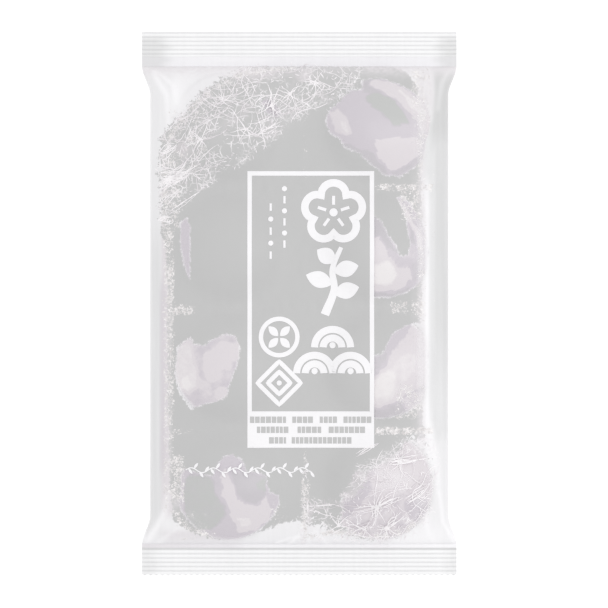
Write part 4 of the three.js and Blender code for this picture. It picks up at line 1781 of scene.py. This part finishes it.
def add_softbox(name, brightness, place, width, depth, mirrored):
    """A rectangular softbox that aims at the pack; mirrored says whether gloss shows it."""
    lamp = bpy.data.lights.new(name, "AREA")
    lamp.shape = "RECTANGLE"
    lamp.size, lamp.size_y = width, depth
    lamp.energy = brightness * math.pi * width * depth
    softbox = bpy.data.objects.new(name, lamp)
    softbox.visible_glossy = mirrored
    softbox.location = place
    softbox.rotation_euler = (-Vector(place)).to_track_quat("-Z", "Y").to_euler()
    bpy.context.scene.collection.objects.link(softbox)


SENSOR = 36 * MM


def add_camera(studio, level):
    """A camera high over the pack, looking straight down, with the head at the top."""
    lens = bpy.data.cameras.new("camera")
    lens.sensor_width = SENSOR / MM
    lens.lens = SENSOR / MM * (studio.height - level) / studio.framed
    lens.clip_end = 40
    camera = bpy.data.objects.new("camera", lens)
    camera.location = (studio.aim_across, studio.aim_along, studio.height)
    bpy.context.scene.collection.objects.link(camera)
    bpy.context.scene.camera = camera


FLOOR_HALF = 6.0
FLOOR_SINK = 0.3 * MM


def add_floor():
    bm = bmesh.new()
    bmesh.ops.create_grid(bm, x_segments=2, y_segments=2, size=FLOOR_HALF)
    bmesh.ops.translate(bm, vec=(0, 0, -FLOOR_SINK), verts=bm.verts)
    mesh = bpy.data.meshes.new("floor")
    bm.to_mesh(mesh)
    bm.free()
    mesh.materials.append(floor_material())
    floor = bpy.data.objects.new("floor", mesh)
    bpy.context.scene.collection.objects.link(floor)


def set_sky(brightness):
    world = bpy.data.worlds.new("white room")
    world.use_nodes = True
    background = world.node_tree.nodes["Background"]
    background.inputs["Color"].default_value = (1, 1, 1, 1)
    background.inputs["Strength"].default_value = brightness
    bpy.context.scene.world = world


# ---------------------------------------------------------------- operators


def settings(context):
    """The user's settings and the shape worked out from them."""
    pack = context.scene.rice_pack
    return pack, PackShape(pack)


class RICEPACK_OT_film(Operator):
    """Makes the clear printed film between the end seals"""

    bl_idname = "ricepack.film"
    bl_label = "Film"

    def execute(self, context):
        pack, shape = settings(context)
        material = film_material(pack.colours, True)
        sleeve = add_piece("film_sleeve", make_sleeve(pack, shape), material)
        sleeve.visible_shadow = False
        sleeve.visible_diffuse = False
        return {"FINISHED"}


class RICEPACK_OT_seals(Operator):
    """Makes the two crimped end seals and the folded back seal"""

    bl_idname = "ricepack.seals"
    bl_label = "Seals"

    def execute(self, context):
        pack, shape = settings(context)
        plain = film_material(pack.colours, False)
        add_piece("head_crimp", make_crimp(pack, shape, True), plain)
        add_piece("foot_crimp", make_crimp(pack, shape, False), plain)
        add_piece("back_seal", make_back_seal(pack, shape), plain)
        return {"FINISHED"}


class RICEPACK_OT_tray(Operator):
    """Makes the thermoformed tray"""

    bl_idname = "ricepack.tray"
    bl_label = "Tray"

    def execute(self, context):
        pack, shape = settings(context)
        add_piece("cell_tray", make_tray(pack, shape), tray_material(pack.colours))
        return {"FINISHED"}


class RICEPACK_OT_cakes(Operator):
    """Makes the eight cakes and the starch round them"""

    bl_idname = "ricepack.cakes"
    bl_label = "Cakes"

    def execute(self, context):
        pack, shape = settings(context)
        dough = dough_material(pack.colours)
        for number in range(len(shape.centres)):
            add_piece(f"cake_{number + 1}", make_cake(number, shape), dough)
        starch = ink_material("loose starch", pack.colours.cream, 0.08, 0.9)
        add_piece("starch_crumbs", make_starch(pack, shape), starch)
        return {"FINISHED"}


class RICEPACK_OT_label(Operator):
    """Makes the label: its border, its plate, the plate's bars and the white motifs"""

    bl_idname = "ricepack.label"
    bl_label = "Label"

    def execute(self, context):
        pack, shape = settings(context)
        white = ink_material("white ink", pack.colours.white_ink, 0.05, 0.4)
        grey = ink_material("grey ink", pack.colours.ink, 0.05, 0.5)
        add_piece("label_frame", make_label(pack, shape), white)
        add_piece("label_bars", make_plate_bars(pack, shape), grey)
        add_piece("label_motifs", make_motifs(pack, shape), white)
        add_piece("printed_vine", make_vine(pack, shape), white)
        return {"FINISHED"}


class RICEPACK_OT_fibres(Operator):
    """Makes the printed paper fibres in two corners"""

    bl_idname = "ricepack.fibres"
    bl_label = "Printed fibres"

    def execute(self, context):
        pack, shape = settings(context)
        fibre = fibre_material(pack.colours)
        head = make_fibres(pack, shape, corner=0, threads=56, hairs=460, seed=301)
        foot = make_fibres(pack, shape, corner=1, threads=26, hairs=240, seed=302)
        add_piece("fibres_head", head, fibre)
        add_piece("fibres_foot", foot, fibre)
        return {"FINISHED"}


class RICEPACK_OT_studio(Operator):
    """Makes the floor, the light and the camera"""

    bl_idname = "ricepack.studio"
    bl_label = "Studio"

    def execute(self, context):
        pack, _ = settings(context)
        studio = pack.studio
        add_floor()
        set_sky(studio.sky)
        beside, above = (0.55, 0, 0.9), (-0.25, 0.6, 1.5)
        add_softbox("right strip", studio.strip, beside, width=0.24, depth=1.2, mirrored=True)
        add_softbox("overhead", studio.overhead, above, width=0.7, depth=0.5, mirrored=False)
        add_camera(studio, pack.film.seal_level)
        context.scene.view_settings.view_transform = "Standard"
        return {"FINISHED"}


OPERATORS = (
    RICEPACK_OT_film,
    RICEPACK_OT_seals,
    RICEPACK_OT_tray,
    RICEPACK_OT_cakes,
    RICEPACK_OT_label,
    RICEPACK_OT_fibres,
    RICEPACK_OT_studio,
)


class RICEPACK_PT_pieces(Panel):
    """Lists the pieces of the pack"""

    bl_idname = "RICEPACK_PT_pieces"
    bl_label = "Rice cake pack"
    bl_space_type = "VIEW_3D"
    bl_region_type = "UI"
    bl_category = "Rice Cakes"

    def draw(self, context):
        for operator in OPERATORS:
            self.layout.operator(operator.bl_idname)


CLASSES = (
    FilmSizes,
    CakeSizes,
    TraySizes,
    PrintSizes,
    FinishColours,
    StudioSettings,
    RicePack,
    *OPERATORS,
    RICEPACK_PT_pieces,
)


def register():
    for made in CLASSES:
        bpy.utils.register_class(made)
    bpy.types.Scene.rice_pack = PointerProperty(type=RicePack)


def unregister():
    del bpy.types.Scene.rice_pack
    for made in reversed(CLASSES):
        bpy.utils.unregister_class(made)


def main():
    register()
    for operator in OPERATORS:
        family, name = operator.bl_idname.split(".")
        getattr(getattr(bpy.ops, family), name)()


if __name__ == "__main__":
    main()
